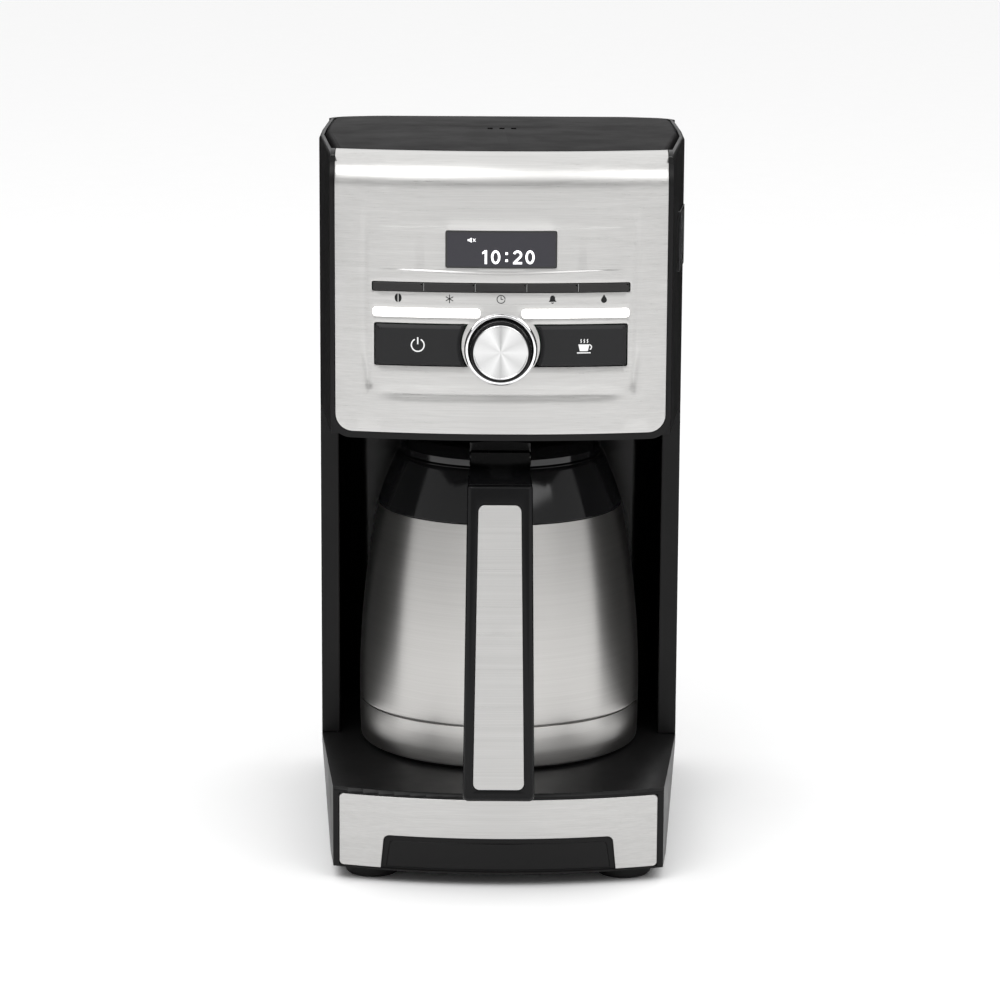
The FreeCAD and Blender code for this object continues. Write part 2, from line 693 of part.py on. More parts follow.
knob = node("knob_body", y=-S["face_front"], z=S["knob_z"])
pad(knob, "XZ_Plane", [disc(0, 0, S["knob_r"])], -S["knob_depth"] + 0.6, 0.6)
round_edges(knob, 0.8, lambda edge: edge.BoundBox.YMax < -8.3 and edge.Length > 80)
cap_r = 12.9
carve(knob, "XZ_Plane", [disc(0, 0, cap_r)], -S["knob_depth"] + 0.6, 1.4 - S["knob_depth"])
carve(knob, "XZ_Plane", [disc(0, 0, 3.05)], -4.5, 0.6)
cap = node("knob_cap", y=-S["face_front"], z=S["knob_z"])
pad(cap, "XZ_Plane", [disc(0, 0, cap_r)], -S["knob_depth"], 1.4 - S["knob_depth"])


def button(name, shape, rise, middle_x, z, half_stem):
    """A keycap on the bowed face with a stem that reaches its switch."""
    item = face_piece(name, [shape], face_r + rise, carrier_in)
    stem_tip = -board_front - 3.4 - press - 0.1
    pad(item, "XZ_Plane", [rect(middle_x - half_stem, z - 1.5, middle_x + half_stem, z + 1.5)],
        -face_y - face_depth(middle_x) + 3, stem_tip - face_y)
    return item


for name, side in (("power_button", -1), ("brew_button", 1)):
    button(name, pad_window(side, 0), S["pad_rise"], pad_middle * side, S["pad_z"], 3.0)
function_names = ["strength_button", "iced_button", "auto_button", "tone_button", "clean_button"]
for name, x in zip(function_names, strip_places):
    half, tall = strip_pitch / 2 - 0.2, S["strip_tall"] / 2
    shape = rect(x - half, S["strip_z"] - tall, x + half, S["strip_z"] + tall)
    button(name, shape, 0.6, x, S["strip_z"], 3.0)

# ---------------------------------------------------------------- lid

lid_front_r = face_r - S["face_bend"] - S["lid_gap"]
lid_x = 78.6
lid_y = on_arc(lid_front_r, lid_x, face_y)


def lid_plan(inset):
    half, lb, lc = S["lid_half"] - inset, S["lid_back"] - inset, S["lid_corner"] - inset
    x, y = lid_x - inset, lid_y + inset
    return loop([
        (-x, y), (x, y, lid_front_r - inset), (half, 0), (half, lb - lc), (half - lc, lb, lc),
        (lc - half, lb), (-half, lb - lc, lc), (-half, 0),
    ])


lid = node("lid_cover")
lid_skin_low = 298.7
pad(lid, "XY_Plane", [lid_plan(0)], S["lid_low"], S["face_top"])
carve(lid, "XY_Plane", [lid_plan(w)], S["lid_low"], lid_skin_low)
carve(lid, "YZ_Plane", [loop([
    (S["crown_y"], S["face_top"]), (S["back_y"], S["face_top"] - 4.6), (S["back_y"], 320),
    (S["crown_y"], 320),
])], -95, 95)
round_edges(lid, 3.0, lambda edge: edge.BoundBox.ZMin > 300.5 and not (
    abs(edge.CenterOfMass.x) < 1 and abs(edge.CenterOfMass.y - 30) < 1))
vent_pitch, vent_y = 5.8, 14.0
vents = [rect(x - 1.25, vent_y - 3, x + 1.25, vent_y + 3) for x in (-vent_pitch, 0, vent_pitch)]
carve(lid, "XY_Plane", vents, lid_skin_low, 306)
knuckle_in, knuckle_out, knuckle_r = 56.0, 63.5, 4.2
hy, hz, pin_r = S["hinge_y"], S["hinge_z"], S["hinge_pin_r"]
for side in (-1, 1):
    low, high = sorted((side * knuckle_in, side * knuckle_out))
    pad(lid, "YZ_Plane", [rect(S["lid_back"] - 1, hz - knuckle_r, hy, hz + knuckle_r)], low, high)
    pad(lid, "YZ_Plane", [disc(hy, hz, knuckle_r)], low, high)
carve(lid, "YZ_Plane", [disc(hy, hz, pin_r + S["pin_clearance"])], -70, 70)

liner_plate = node("lid_liner")
pad(liner_plate, "XY_Plane", [lid_plan(w)], S["lid_low"], S["lid_low"] + 2)
carve(liner_plate, "XY_Plane", vents, S["lid_low"], S["lid_low"] + 2)

pin = node("hinge_pin")
pad(pin, "YZ_Plane", [disc(hy, hz, pin_r)], -ear_out, ear_out)

feed_z = 286.8
shower_r, shower_low, shower_high = 36.0, 279.0, 290.4
away = math.hypot(riser_x, riser_y)
toward = (riser_x / away, riser_y / away)
spray = station(new_body("Spray"))
turn(spray, "XZ_Plane", [
    (0, shower_low), (shower_r, shower_low), (shower_r, shower_high), (10, shower_high),
    (10, S["lid_low"]), (0, S["lid_low"]), (0, 288.4), (33, 288.4), (33, 281.5), (0, 281.5),
])
spray_holes = [disc(*at_turn(ring_r, step, count), 1.0)
               for ring_r, count in ((11, 6), (21, 10), (29, 14)) for step in range(count)]
carve(spray, "XY_Plane", spray_holes, shower_low, 281.5)
spout = doc.addObject("Part::Cylinder", "SprayInlet")
spout.Radius = 3.2
spout.Height = 6.5
spout.Placement.Rotation = FreeCAD.Rotation(
    FreeCAD.Vector(0, 0, 1), FreeCAD.Vector(toward[0], toward[1], 0))
station(spout, 34.8 * toward[0], 34.8 * toward[1], feed_z)
shower = doc.addObject("Part::Fuse", "Shower")
shower.Base = spray
shower.Tool = spout
keep("shower_head", shower)

# ---------------------------------------------------------------- brewing parts

holder = node("basket_holder")
hr, holder_top = S["holder_r"], S["basket_top"]
turn(holder, "XZ_Plane", [
    (outlet_r, floor_top), (hr, floor_top), (hr, holder_top), (hr - 1.7, holder_top),
    (hr - 1.7, floor_top + 2), (outlet_r, floor_top + 2),
])

basket = node("filter_basket")
basket_wall, basket_foot, stem_hole = 1.8, 50.0, 6.0
bl = S["basket_low"]
turn(basket, "XZ_Plane", [
    (stem_hole, 174), (10, 174), (10, bl), (basket_foot, bl), (S["basket_r"], holder_top),
    (hr - 0.2, holder_top), (hr - 0.2, holder_top + 2), (S["basket_r"] - basket_wall, holder_top + 2),
    (basket_foot - basket_wall, bl + 2), (stem_hole, bl + 2),
])

bail = node("basket_bail")
bail_out, bail_in, bail_turn = 62.5, 60.0, math.radians(8)
ox, oy = bail_out * math.cos(bail_turn), bail_out * math.sin(bail_turn)
ix, iy = bail_in * math.cos(bail_turn), bail_in * math.sin(bail_turn)
pad(bail, "XY_Plane", [loop([
    (ix, iy), (ox, oy), (-ox, oy, bail_out), (-ix, iy), (ix, iy, -bail_in)])],
    holder_top + 2, holder_top + 4.5)

stop = node("drip_stop")
turn(stop, "XZ_Plane", [
    (0, 165.5), (8, 165.5), (8, 168.5), (stem_hole - 0.08, 168.5), (stem_hole - 0.08, 192.1),
    (9, 192.1), (9, 194.1), (0, 194.1),
])

tank = node("water_reservoir")
tl, tr, tf, tk, tw = (S["tank_left"], S["tank_right"], S["tank_front"], S["tank_back"],
                      S["tank_wall"])
wing_in, wing_out, wing_front, wing_low, tank_low, tank_corner = 66.0, 80.0, -48.0, 186.0, 3.0, 16.0
pad(tank, "XY_Plane", [loop([
    (-tl, tf), (tr, tf), (tr, tk - tank_corner), (tr - tank_corner, tk, tank_corner), (-tl, tk)])],
    tank_low, S["tank_top"])
pad(tank, "XY_Plane", [rect(wing_in, wing_front, wing_out, tf)], wing_low, S["tank_top"])
carve(tank, "XY_Plane", [loop([
    (tw - tl, tf + tw), (tr - tw, tf + tw), (tr - tw, tk - tank_corner),
    (tr - tank_corner, tk - tw, tank_corner - tw), (tw - tl, tk - tw)])],
    tank_low + 2, S["tank_top"])
carve(tank, "XY_Plane", [rect(wing_in + tw, wing_front + tw, wing_out - tw, tf + tw + 1)],
      wing_low + 2, S["tank_top"])
pad(tank, "XY_Plane", [disc(outlet_x, outlet_y, 5.0)], -10, tank_low)
carve(tank, "XY_Plane", [disc(outlet_x, outlet_y, 3.0)], -10, tank_low + 2)

tube_x, tube_end_y, tube_z = 50.0, 45.0, -21.0
heater = node("heater")
bend_y = -10.0
spine = sketch_on(heater, "XY_Plane", [], tube_z)
right_leg = spine.addGeometry(Part.LineSegment(
    FreeCAD.Vector(tube_x, tube_end_y, 0), FreeCAD.Vector(tube_x, bend_y, 0)), False)
bow = spine.addGeometry(Part.ArcOfCircle(Part.Circle(
    FreeCAD.Vector(0, bend_y, 0), FreeCAD.Vector(0, 0, 1), tube_x), math.pi, 2 * math.pi), False)
left_leg = spine.addGeometry(Part.LineSegment(
    FreeCAD.Vector(-tube_x, bend_y, 0), FreeCAD.Vector(-tube_x, tube_end_y, 0)), False)
pipe = heater.newObject("PartDesign::AdditivePipe", "Pipe")
pipe.Profile = sketch_on(heater, "XZ_Plane", [rect(42, -30, 58, -10, 3)], tube_end_y)
pipe.Spine = (spine, ["Edge1", "Edge2", "Edge3"])
pad(heater, "XZ_Plane", [disc(-tube_x, tube_z, 4.0), disc(tube_x, tube_z, 4.0)],
    tube_end_y, tube_end_y + 7)

clamp = node("heater_clamp")
pad(clamp, "XY_Plane", [rect(-62, -8, 62, 8, 4)], -10, -8.5)

thermostat = node("thermostat")
pad(thermostat, "XY_Plane", [disc(0, -60, 8)], -10, -5)

board = node("power_board")
pad(board, "XY_Plane", [rect(-34, -30, 34, 40, 2)], -34, -32.4)
pad(board, "XY_Plane", [rect(-24, -14, -6, 6)], -32.4, -20)
pad(board, "XY_Plane", [disc(14, 8, 7)], -32.4, -14)

valve = node("check_valve")
pad(valve, "XZ_Plane", [disc(tube_x, tube_z, 6.0)], tube_end_y + 7, tube_end_y + 21)


def hose(name, stops, bend):
    """A round tube along straight runs that are joined by tangent arcs."""
    points = [FreeCAD.Vector(*stop_) for stop_ in stops]
    edges, start = [], points[0]
    for before, corner, after in zip(points, points[1:], points[2:]):
        back, ahead = (before - corner).normalize(), (after - corner).normalize()
        half_turn = (math.pi - back.getAngle(ahead)) / 2
        reach = bend * math.tan(half_turn)
        into, out = corner + back * reach, corner + ahead * reach
        centre_line = (back + ahead).normalize()
        middle = corner + centre_line * (bend / math.cos(half_turn) - bend)
        edges += [Part.LineSegment(start, into).toShape(), Part.Arc(into, middle, out).toShape()]
        start = out
    edges.append(Part.LineSegment(start, points[-1]).toShape())
    path = Part.Wire(edges)
    ring_ = Part.Wire(Part.makeCircle(number(S["tube_r"]), points[0], points[1] - points[0]))
    item = doc.addObject("Part::Feature", name)
    item.Shape = path.makePipeShell([ring_], True, False)
    area = math.pi * number(S["tube_r"]) ** 2
    if abs(item.Shape.Volume / (area * path.Length) - 1) > 0.02:
        raise RuntimeError(f"{name} isn't a clean tube")
    return keep(name, station(item))


hose("inlet_hose", [
    (outlet_x, outlet_y, -10), (outlet_x, outlet_y, tube_z), (tube_x, tube_end_y + 21, tube_z)], 8.0)
hose("riser_tube", [
    (-tube_x, tube_end_y + 7, tube_z), (-tube_x, 72, tube_z), (riser_x, riser_y, tube_z),
    (riser_x, riser_y, feed_z), (42.2 * toward[0], 42.2 * toward[1], feed_z)], 10.0)

# ---------------------------------------------------------------- carafe

shell_bow = 473.0
belly_z, belly_r = 28.0, S["carafe_r"]
cr_, cz = S["collar_r"], S["collar_z"]
skin = S["shell_thick"]
shell = node("carafe_shell")
turn(shell, "XZ_Plane", [
    (belly_r - 2, 4), (belly_r - 1, 4), (belly_r, belly_z), (cr_, cz, shell_bow), (cr_ - skin, cz),
    (belly_r - skin, belly_z, skin - shell_bow),
])

foot = node("carafe_base")
turn(foot, "XZ_Plane", [
    (0, 1.5), (60, 1.5), (61, 0.2), (66, 0.2), (69, 2.6), (69, 4), (0, 4)])

vessel = node("carafe_vessel")
vr = belly_r - skin - S["vacuum_gap"]
neck_r, vessel_skin = 48.6, 0.8
turn(vessel, "XZ_Plane", [
    (0, 9), (58, 9), (vr, 16), (vr, belly_z), (54.6, 116, shell_bow), (neck_r, 124), (neck_r, 132),
    (neck_r - vessel_skin, 132), (neck_r - vessel_skin, 123.7), (53.8, 115.6),
    (vr - vessel_skin, belly_z, -shell_bow), (vr - vessel_skin, 16.3), (57.6, 9.8), (0, 9.8),
])

collar = node("carafe_collar")
mr, mz, mouth_in = S["mouth_r"], S["mouth_z"], 46.6
turn(collar, "XZ_Plane", [
    (57, 118), (59.4, 118), (59.4, cz), (cr_, cz), (mr, mz - 1.5), (mr - 1.5, mz), (mouth_in, mz),
    (mouth_in, 132.4), (neck_r + 0.2, 132.4), (neck_r + 0.2, 126),
])

handle = station(new_body("HandleSolid"))
hf, foot_y = S["handle_front"], S["handle_foot"]
arm_top, arm_low, lip_in = S["handle_top"], 130.0, 118.0
strap_foot, strap_z = 11.0, 3.0
pad(handle, "YZ_Plane", [loop([
    (-46, arm_top), (-46, arm_low), (-98, arm_low), (-109.5, arm_low - 11.5, 11.5),
    (strap_foot - foot_y, strap_z + 4), (strap_foot - foot_y - 2, strap_z),
    (4 - foot_y, strap_z), (-foot_y, strap_z + 4, -4), (-hf, S["lip_top"]), (-lip_in, S["lip_top"]),
    (-lip_in, arm_top),
])], -S["handle_half_foot"], S["handle_half_foot"])
for side in (-1, 1):
    carve(handle, "XZ_Plane", [loop([
        (side * S["handle_half_top"], S["lip_top"] + 1), (side * S["handle_half_foot"], 0),
        (side * 20, 0), (side * 20, S["lip_top"] + 1)])], -140, -40)
screw_spots = [(-8, -68), (8, -68)]
carve(handle, "XY_Plane", [disc(x, y, 1.5) for x, y in screw_spots], arm_low, arm_low + 9)
round_edges(handle, 2.5, lambda edge: edge.Length > 100 and edge.CenterOfMass.y < -120)

inlay_top, inlay_low, inlay_half_top, inlay_half_low = 144.0, 9.5, 10.0, 12.0
lean = (foot_y - hf) / (S["lip_top"] - (strap_z + 4))


def strap_front(z):
    """Where the handle's front face stands at a height."""
    return -hf - lean * (S["lip_top"] - z)


inlay = node("handle_inlay")
proud, sunk = 0.3, 1.1
pad(inlay, "YZ_Plane", [loop([
    (strap_front(inlay_low) - proud, inlay_low), (strap_front(inlay_low) + sunk, inlay_low),
    (strap_front(inlay_top) + sunk, inlay_top), (strap_front(inlay_top) - proud, inlay_top)])],
    -inlay_half_low, inlay_half_low)
for side in (-1, 1):
    carve(inlay, "XZ_Plane", [loop([
        (side * inlay_half_top, inlay_top + 1), (side * inlay_half_low, inlay_low - 1),
        (side * 20, inlay_low - 1), (side * 20, inlay_top + 1)])], -140, -110)
round_edges(inlay, 3.0, lambda edge: edge.Length < 2 and edge.BoundBox.XMax - edge.BoundBox.XMin < 0.1)
seat = doc.addObject("Part::Cut", "HandleSeat")
seat.Base = handle
seat.Tool = inlay
envelope = station(new_body("CollarEnvelope"))
turn(envelope, "XZ_Plane", [
    (0, 110), (cr_, 110), (cr_, cz), (mr, mz - 1.5), (mr - 1.5, mz), (0, mz)])
cut("carafe_handle", seat, envelope)

handle_screws = node("handle_screws")
pad(handle_screws, "XY_Plane", [disc(x, y, 1.5) for x, y in screw_spots], arm_low, arm_low + 9)
pad(handle_screws, "XY_Plane", [disc(x, y, 3.0) for x, y in screw_spots], arm_low - 1.6, arm_low)

lid_body = node("carafe_lid")
skirt_out, skirt_in, guide_r = 45.0, 42.5, 6.1
seat_low, seat_high, seat_r = 133.0, 134.6, 37.0
flange_low, flange_r = mz + 0.3, 50.0
turn(lid_body, "XZ_Plane", [
    (seat_r, seat_low), (skirt_out, seat_low), (skirt_out, flange_low), (flange_r, flange_low),
    (flange_r, 150.5), (45.5, 155.5), (12, 165), (guide_r, 165), (guide_r, 157.5), (9, 157.5),
    (9, 160), (skirt_in, 152), (skirt_in, seat_high), (seat_r, seat_high),
])
inlets = [disc(*at_turn(16, step, 6), 2.2) for step in range(6)]
carve(lid_body, "XY_Plane", inlets, 150, 166)
lever_half, lever_low = 14.4, S["lever_top"] - S["lever_thick"]
pivot_y, pivot_z = -41.0, S["lever_top"] - S["lever_thick"] / 2
carve(lid_body, "XY_Plane", [rect(-lever_half - 0.5, -52, lever_half + 0.5, -37.5)],
      lever_low - 0.8, 170)
lug = 3.0
for side in (-1, 1):
    low, high = sorted((side * (lever_half + 0.5), side * (lever_half + 0.5 + lug)))
    pad(lid_body, "YZ_Plane", [rect(pivot_y - 3, 150, pivot_y + 3, pivot_z + 2.5)], low, high)
carve(lid_body, "YZ_Plane", [disc(pivot_y, pivot_z, 1.2)], -20, 20)

gasket = node("lid_gasket")
turn(gasket, "XZ_Plane", [
    (skirt_out, 137), (46.2, 138), (46.2, 140), (skirt_out, 141)])

lever_pin = node("lever_pin")
pad(lever_pin, "YZ_Plane", [disc(pivot_y, pivot_z, 1.2)], -lever_half - 3.5, lever_half + 3.5)

lever = node("pour_lever")
half_lever = S["lever_thick"] / 2
pad(lever, "YZ_Plane", [rect(-116.6, lever_low, pivot_y, S["lever_top"])], -lever_half, lever_half)
pad(lever, "YZ_Plane", [disc(pivot_y, pivot_z, half_lever)], -lever_half, lever_half)
prong_in, prong_out, prong_end = 6.6, 10.0, 5.0
for side in (-1, 1):
    low, high = sorted((side * prong_in, side * prong_out))
    pad(lever, "YZ_Plane", [rect(pivot_y, lever_low + 0.5, prong_end, S["lever_top"] - 0.5)],
        low, high)
carve(lever, "YZ_Plane", [disc(pivot_y, pivot_z, 1.25)], -20, 20)

poppet = node("pour_valve")
stem_r, valve_r, valve_low, collar_low = guide_r - 0.08, 40.0, seat_high + 0.4, S["lever_top"] + 0.2
turn(poppet, "XZ_Plane", [
    (0, valve_low), (valve_r, valve_low), (valve_r, valve_low + 1.6), (stem_r, valve_low + 3),
    (stem_r, collar_low), (10.5, collar_low), (10.5, collar_low + 1.5), (stem_r, collar_low + 1.5),
    (stem_r, 161.5), (0, 161.5),
])

# ---------------------------------------------------------------- output

doc.recompute()
for item in doc.Objects:
    if "Invalid" in item.State or "Error" in item.State:
        raise RuntimeError(f"{item.Name} ({item.Label}) failed: {item.State}")
os.makedirs("parts", exist_ok=True)
for name, item in nodes.items():
    shape = item.Shape
    if shape.isNull() or not shape.isValid():
        raise RuntimeError(f"{name} has no valid shape")
    shape.exportStep(f"parts/{name}.step")
print(f"{len(nodes)} sub-parts written")
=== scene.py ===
import json
import math

import bmesh
import bpy
import numpy as np
from mathutils import Matrix, Vector, geometry


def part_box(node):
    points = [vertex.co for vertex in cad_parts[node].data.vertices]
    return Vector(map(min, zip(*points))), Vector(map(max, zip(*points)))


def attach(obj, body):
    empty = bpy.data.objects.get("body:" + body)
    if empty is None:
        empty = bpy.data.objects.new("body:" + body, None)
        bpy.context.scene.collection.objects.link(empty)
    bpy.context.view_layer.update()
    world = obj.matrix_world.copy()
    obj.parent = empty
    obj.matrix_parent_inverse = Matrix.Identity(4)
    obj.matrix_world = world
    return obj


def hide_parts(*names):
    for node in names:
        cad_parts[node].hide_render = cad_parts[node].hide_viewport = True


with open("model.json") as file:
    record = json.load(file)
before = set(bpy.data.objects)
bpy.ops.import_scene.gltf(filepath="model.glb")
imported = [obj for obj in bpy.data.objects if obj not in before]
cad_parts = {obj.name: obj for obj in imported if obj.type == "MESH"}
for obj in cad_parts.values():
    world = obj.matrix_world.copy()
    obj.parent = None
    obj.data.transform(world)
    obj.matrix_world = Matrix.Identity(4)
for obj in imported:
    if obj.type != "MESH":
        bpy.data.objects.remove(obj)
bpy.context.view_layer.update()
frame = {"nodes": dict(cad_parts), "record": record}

# A drip coffee maker. Lengths below are millimetres in the "station" frame: about the carafe's
# axis, from the height of the deck, as the CAD parts are; place() turns them into the scene's metres.
MM = 0.001
AXIS_Y = (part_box("carafe_shell")[0].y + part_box("carafe_shell")[1].y) / 2
DECK_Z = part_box("base_housing")[1].z


def place(x, y, z):
    """A station point in the scene's frame."""
    return Vector((x * MM, AXIS_Y + y * MM, DECK_Z + z * MM))


def low(node):
    """A node's lowest corner in the station frame."""
    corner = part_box(node)[0]
    return corner.x / MM, (corner.y - AXIS_Y) / MM, (corner.z - DECK_Z) / MM


def high(node):
    """A node's highest corner in the station frame."""
    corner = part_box(node)[1]
    return corner.x / MM, (corner.y - AXIS_Y) / MM, (corner.z - DECK_Z) / MM


# The bowed face is part of an upright cylinder; its top bends back over the head.
FACE_HALF = high("face_panel")[0]
FACE_FRONT = -low("face_panel")[1]
FACE_LOW = low("face_panel")[2]
FACE_TOP = high("face_panel")[2]
FACE_SAG = 9.1              # how far its sides lie behind its middle
FACE_BEND = 16.0            # radius of the bend
FACE_R = (FACE_HALF ** 2 + FACE_SAG ** 2) / (2 * FACE_SAG)
FACE_Y = FACE_R - FACE_FRONT
KNOB_Z = (low("knob_body")[2] + high("knob_body")[2]) / 2

# ---------------------------------------------------------------- materials
# Noise is given in cells per metre, depths of bumps in metres.

PATCHES = 45                # uneven sheen of moulded plastic
GROOVES = 900               # of a turned surface
GRAIN_DEPTH = 0.00004
SCRATCH_DEPTH, SCRATCH_STRENGTH = 0.00002, 0.06
FINE_SHARE = 0.65           # share of the fine scratches in a brushed tone; broader streaks have the rest
STREAK_WIDTH = 7            # of a streak, in scratches
QUARTER_TURN = 0.25         # stretches the highlight across the scratches
# Painted highlights and painted shade round a turned face, in sectors as grooves would spread the light:
# (part of the turn, tone).
PAINTED_GLINTS = [(0.0, 0.85), (0.08, 0.6), (0.17, 1.0), (0.25, 0.1), (0.31, 0.9), (0.42, 0.5), (0.5, 0.9),
          (0.6, 0.55), (0.68, 1.0), (0.75, 0.3), (0.82, 0.95), (0.92, 0.6), (1.0, 0.85)]


def new_material(name):
    """A new material with its node tree and its main shader."""
    material = bpy.data.materials.new(name)
    material.use_nodes = True
    tree = material.node_tree
    return material, tree, tree.nodes["Principled BSDF"]


def stretched_noise(tree, scale, detail=4.0, rough=0.6):
    """Noise in object space, with its own scale along each axis."""
    where = tree.nodes.new("ShaderNodeTexCoord")
    mapping = tree.nodes.new("ShaderNodeMapping")
    mapping.inputs["Scale"].default_value = scale
    noise = tree.nodes.new("ShaderNodeTexNoise")
    noise.inputs["Scale"].default_value = 1.0
    noise.inputs["Detail"].default_value = detail
    noise.inputs["Roughness"].default_value = rough
    tree.links.new(where.outputs["Object"], mapping.inputs["Vector"])
    tree.links.new(mapping.outputs["Vector"], noise.inputs["Vector"])
    return noise.outputs["Fac"]


def spread(tree, value, low_out, high_out, low_in=0.3, high_in=0.7):
    """Maps a 0 to 1 value onto a range."""
    node = tree.nodes.new("ShaderNodeMapRange")
    node.inputs["From Min"].default_value = low_in
    node.inputs["From Max"].default_value = high_in
    node.inputs["To Min"].default_value = low_out
    node.inputs["To Max"].default_value = high_out
    tree.links.new(value, node.inputs["Value"])
    return node.outputs["Result"]


def tint(tree, shader, value, dark, light):
    """Colours a surface between two colours."""
    mix = tree.nodes.new("ShaderNodeMix")
    mix.data_type = "RGBA"
    mix.inputs["A"].default_value = (*dark, 1)
    mix.inputs["B"].default_value = (*light, 1)
    tree.links.new(value, mix.inputs["Factor"])
    tree.links.new(mix.outputs["Result"], shader.inputs["Base Color"])


def bump(tree, shader, height, strength, distance):
    node = tree.nodes.new("ShaderNodeBump")
    node.inputs["Strength"].default_value = strength
    node.inputs["Distance"].default_value = distance
    tree.links.new(height, node.inputs["Height"])
    tree.links.new(node.outputs["Normal"], shader.inputs["Normal"])


def plastic(name, dark, light, roughness, grain=0.35, grain_size=0.00035, specular=0.25):
    """Moulded plastic with a fine spark-eroded grain and slight unevenness in its sheen."""
    material, tree, shader = new_material(name)
    cells = 1 / grain_size
    fine = stretched_noise(tree, (cells, cells, cells), 2.0)
    broad = stretched_noise(tree, (PATCHES,) * 3, 3.0)
    tint(tree, shader, broad, dark, light)
    tree.links.new(spread(tree, broad, roughness - 0.04, roughness + 0.05), shader.inputs["Roughness"])
    bump(tree, shader, fine, grain, GRAIN_DEPTH)
    shader.inputs["Specular IOR Level"].default_value = specular
    return material


def brushed(name, dark, light, rough_low, rough_high, grain, anisotropic):
    """Brushed metal: long fine scratches round the object, with a broader streak in its tone."""
    material, tree, shader = new_material(name)
    shader.inputs["Metallic"].default_value = 1.0
    shader.inputs["Anisotropic"].default_value = anisotropic
    shader.inputs["Anisotropic Rotation"].default_value = QUARTER_TURN
    tangent = tree.nodes.new("ShaderNodeTangent")
    tangent.direction_type = "RADIAL"
    tangent.axis = "Z"
    tree.links.new(tangent.outputs["Tangent"], shader.inputs["Tangent"])
    fine = stretched_noise(tree, grain, 3.0, 0.7)
    broad = stretched_noise(tree, tuple(cells / STREAK_WIDTH for cells in grain), 2.0)
    both = tree.nodes.new("ShaderNodeMath")
    both.operation = "MULTIPLY_ADD"
    both.inputs[1].default_value = FINE_SHARE
    tree.links.new(fine, both.inputs[0])
    scaled = spread(tree, broad, 0.0, 1 - FINE_SHARE, 0.0, 1.0)
    tree.links.new(scaled, both.inputs[2])
    tone = both.outputs["Value"]
    tint(tree, shader, spread(tree, tone, 0.0, 1.0), dark, light)
    tree.links.new(spread(tree, tone, rough_low, rough_high), shader.inputs["Roughness"])
    bump(tree, shader, fine, SCRATCH_STRENGTH, SCRATCH_DEPTH)
    return material


def spun(name, dark, light):
    """A turned face: its light and dark sectors round its middle, as grooves spread the light, are painted
    highlights and painted shade in its colour.
    """
    material, tree, shader = new_material(name)
    shader.inputs["Metallic"].default_value = 1.0
    where = tree.nodes.new("ShaderNodeTexCoord")
    centred = tree.nodes.new("ShaderNodeVectorMath")
    centred.operation = "SUBTRACT"
    centred.inputs[1].default_value = (0.5, 0.5, 0.5)
    upright = tree.nodes.new("ShaderNodeVectorRotate")
    upright.rotation_type = "X_AXIS"
    upright.inputs["Angle"].default_value = math.pi / 2
    sweep = tree.nodes.new("ShaderNodeTexGradient")
    sweep.gradient_type = "RADIAL"
    glint_ramp = tree.nodes.new("ShaderNodeValToRGB")
    tree.links.new(where.outputs["Generated"], centred.inputs[0])
    tree.links.new(centred.outputs["Vector"], upright.inputs["Vector"])
    tree.links.new(upright.outputs["Vector"], sweep.inputs["Vector"])
    tree.links.new(sweep.outputs["Fac"], glint_ramp.inputs["Fac"])
    # Each tone is painted light: bright sectors are painted highlights, dark ones painted shade.
    ramp = glint_ramp.color_ramp
    ramp.elements[0].position, ramp.elements[1].position = PAINTED_GLINTS[0][0], PAINTED_GLINTS[-1][0]
    for at, _ in PAINTED_GLINTS[1:-1]:
        ramp.elements.new(at)
    for element, (_, tone) in zip(ramp.elements, PAINTED_GLINTS):
        element.color = (tone, tone, tone, 1)
    tint(tree, shader, glint_ramp.outputs["Color"], dark, light)
    grooves = stretched_noise(tree, (GROOVES,) * 3, 3.0)
    tree.links.new(spread(tree, grooves, 0.24, 0.27), shader.inputs["Roughness"])
    return material


def polished(name, colour, roughness):
    material, tree, shader = new_material(name)
    shader.inputs["Metallic"].default_value = 1.0
    smear = stretched_noise(tree, (160, 160, 160), 3.0)
    tint(tree, shader, smear, tuple(c * 0.96 for c in colour), colour)
    tree.links.new(spread(tree, smear, roughness, roughness + 0.05), shader.inputs["Roughness"])
    return material


def glowing(name, colour, strength):
    """A lit diffuser: a little uneven along its length, as the lamps behind it are."""
    material, tree, shader = new_material(name)
    patches = stretched_noise(tree, (60, 60, 20), 1.0)
    tint(tree, shader, patches, tuple(c * 0.9 for c in colour), colour)
    shader.inputs["Roughness"].default_value = 0.4
    shader.inputs["Emission Color"].default_value = (*colour, 1)
    shader.inputs["Emission Strength"].default_value = strength
    return material


def clear(name, colour, roughness, transmission):
    """Tinted, slightly cloudy plastic."""
    material, tree, shader = new_material(name)
    cloud = stretched_noise(tree, (70, 70, 70), 2.0)
    tint(tree, shader, cloud, tuple(c * 0.85 for c in colour), colour)
    tree.links.new(spread(tree, cloud, roughness, roughness + 0.06), shader.inputs["Roughness"])
    shader.inputs["Transmission Weight"].default_value = transmission
    shader.inputs["IOR"].default_value = 1.49
    return material


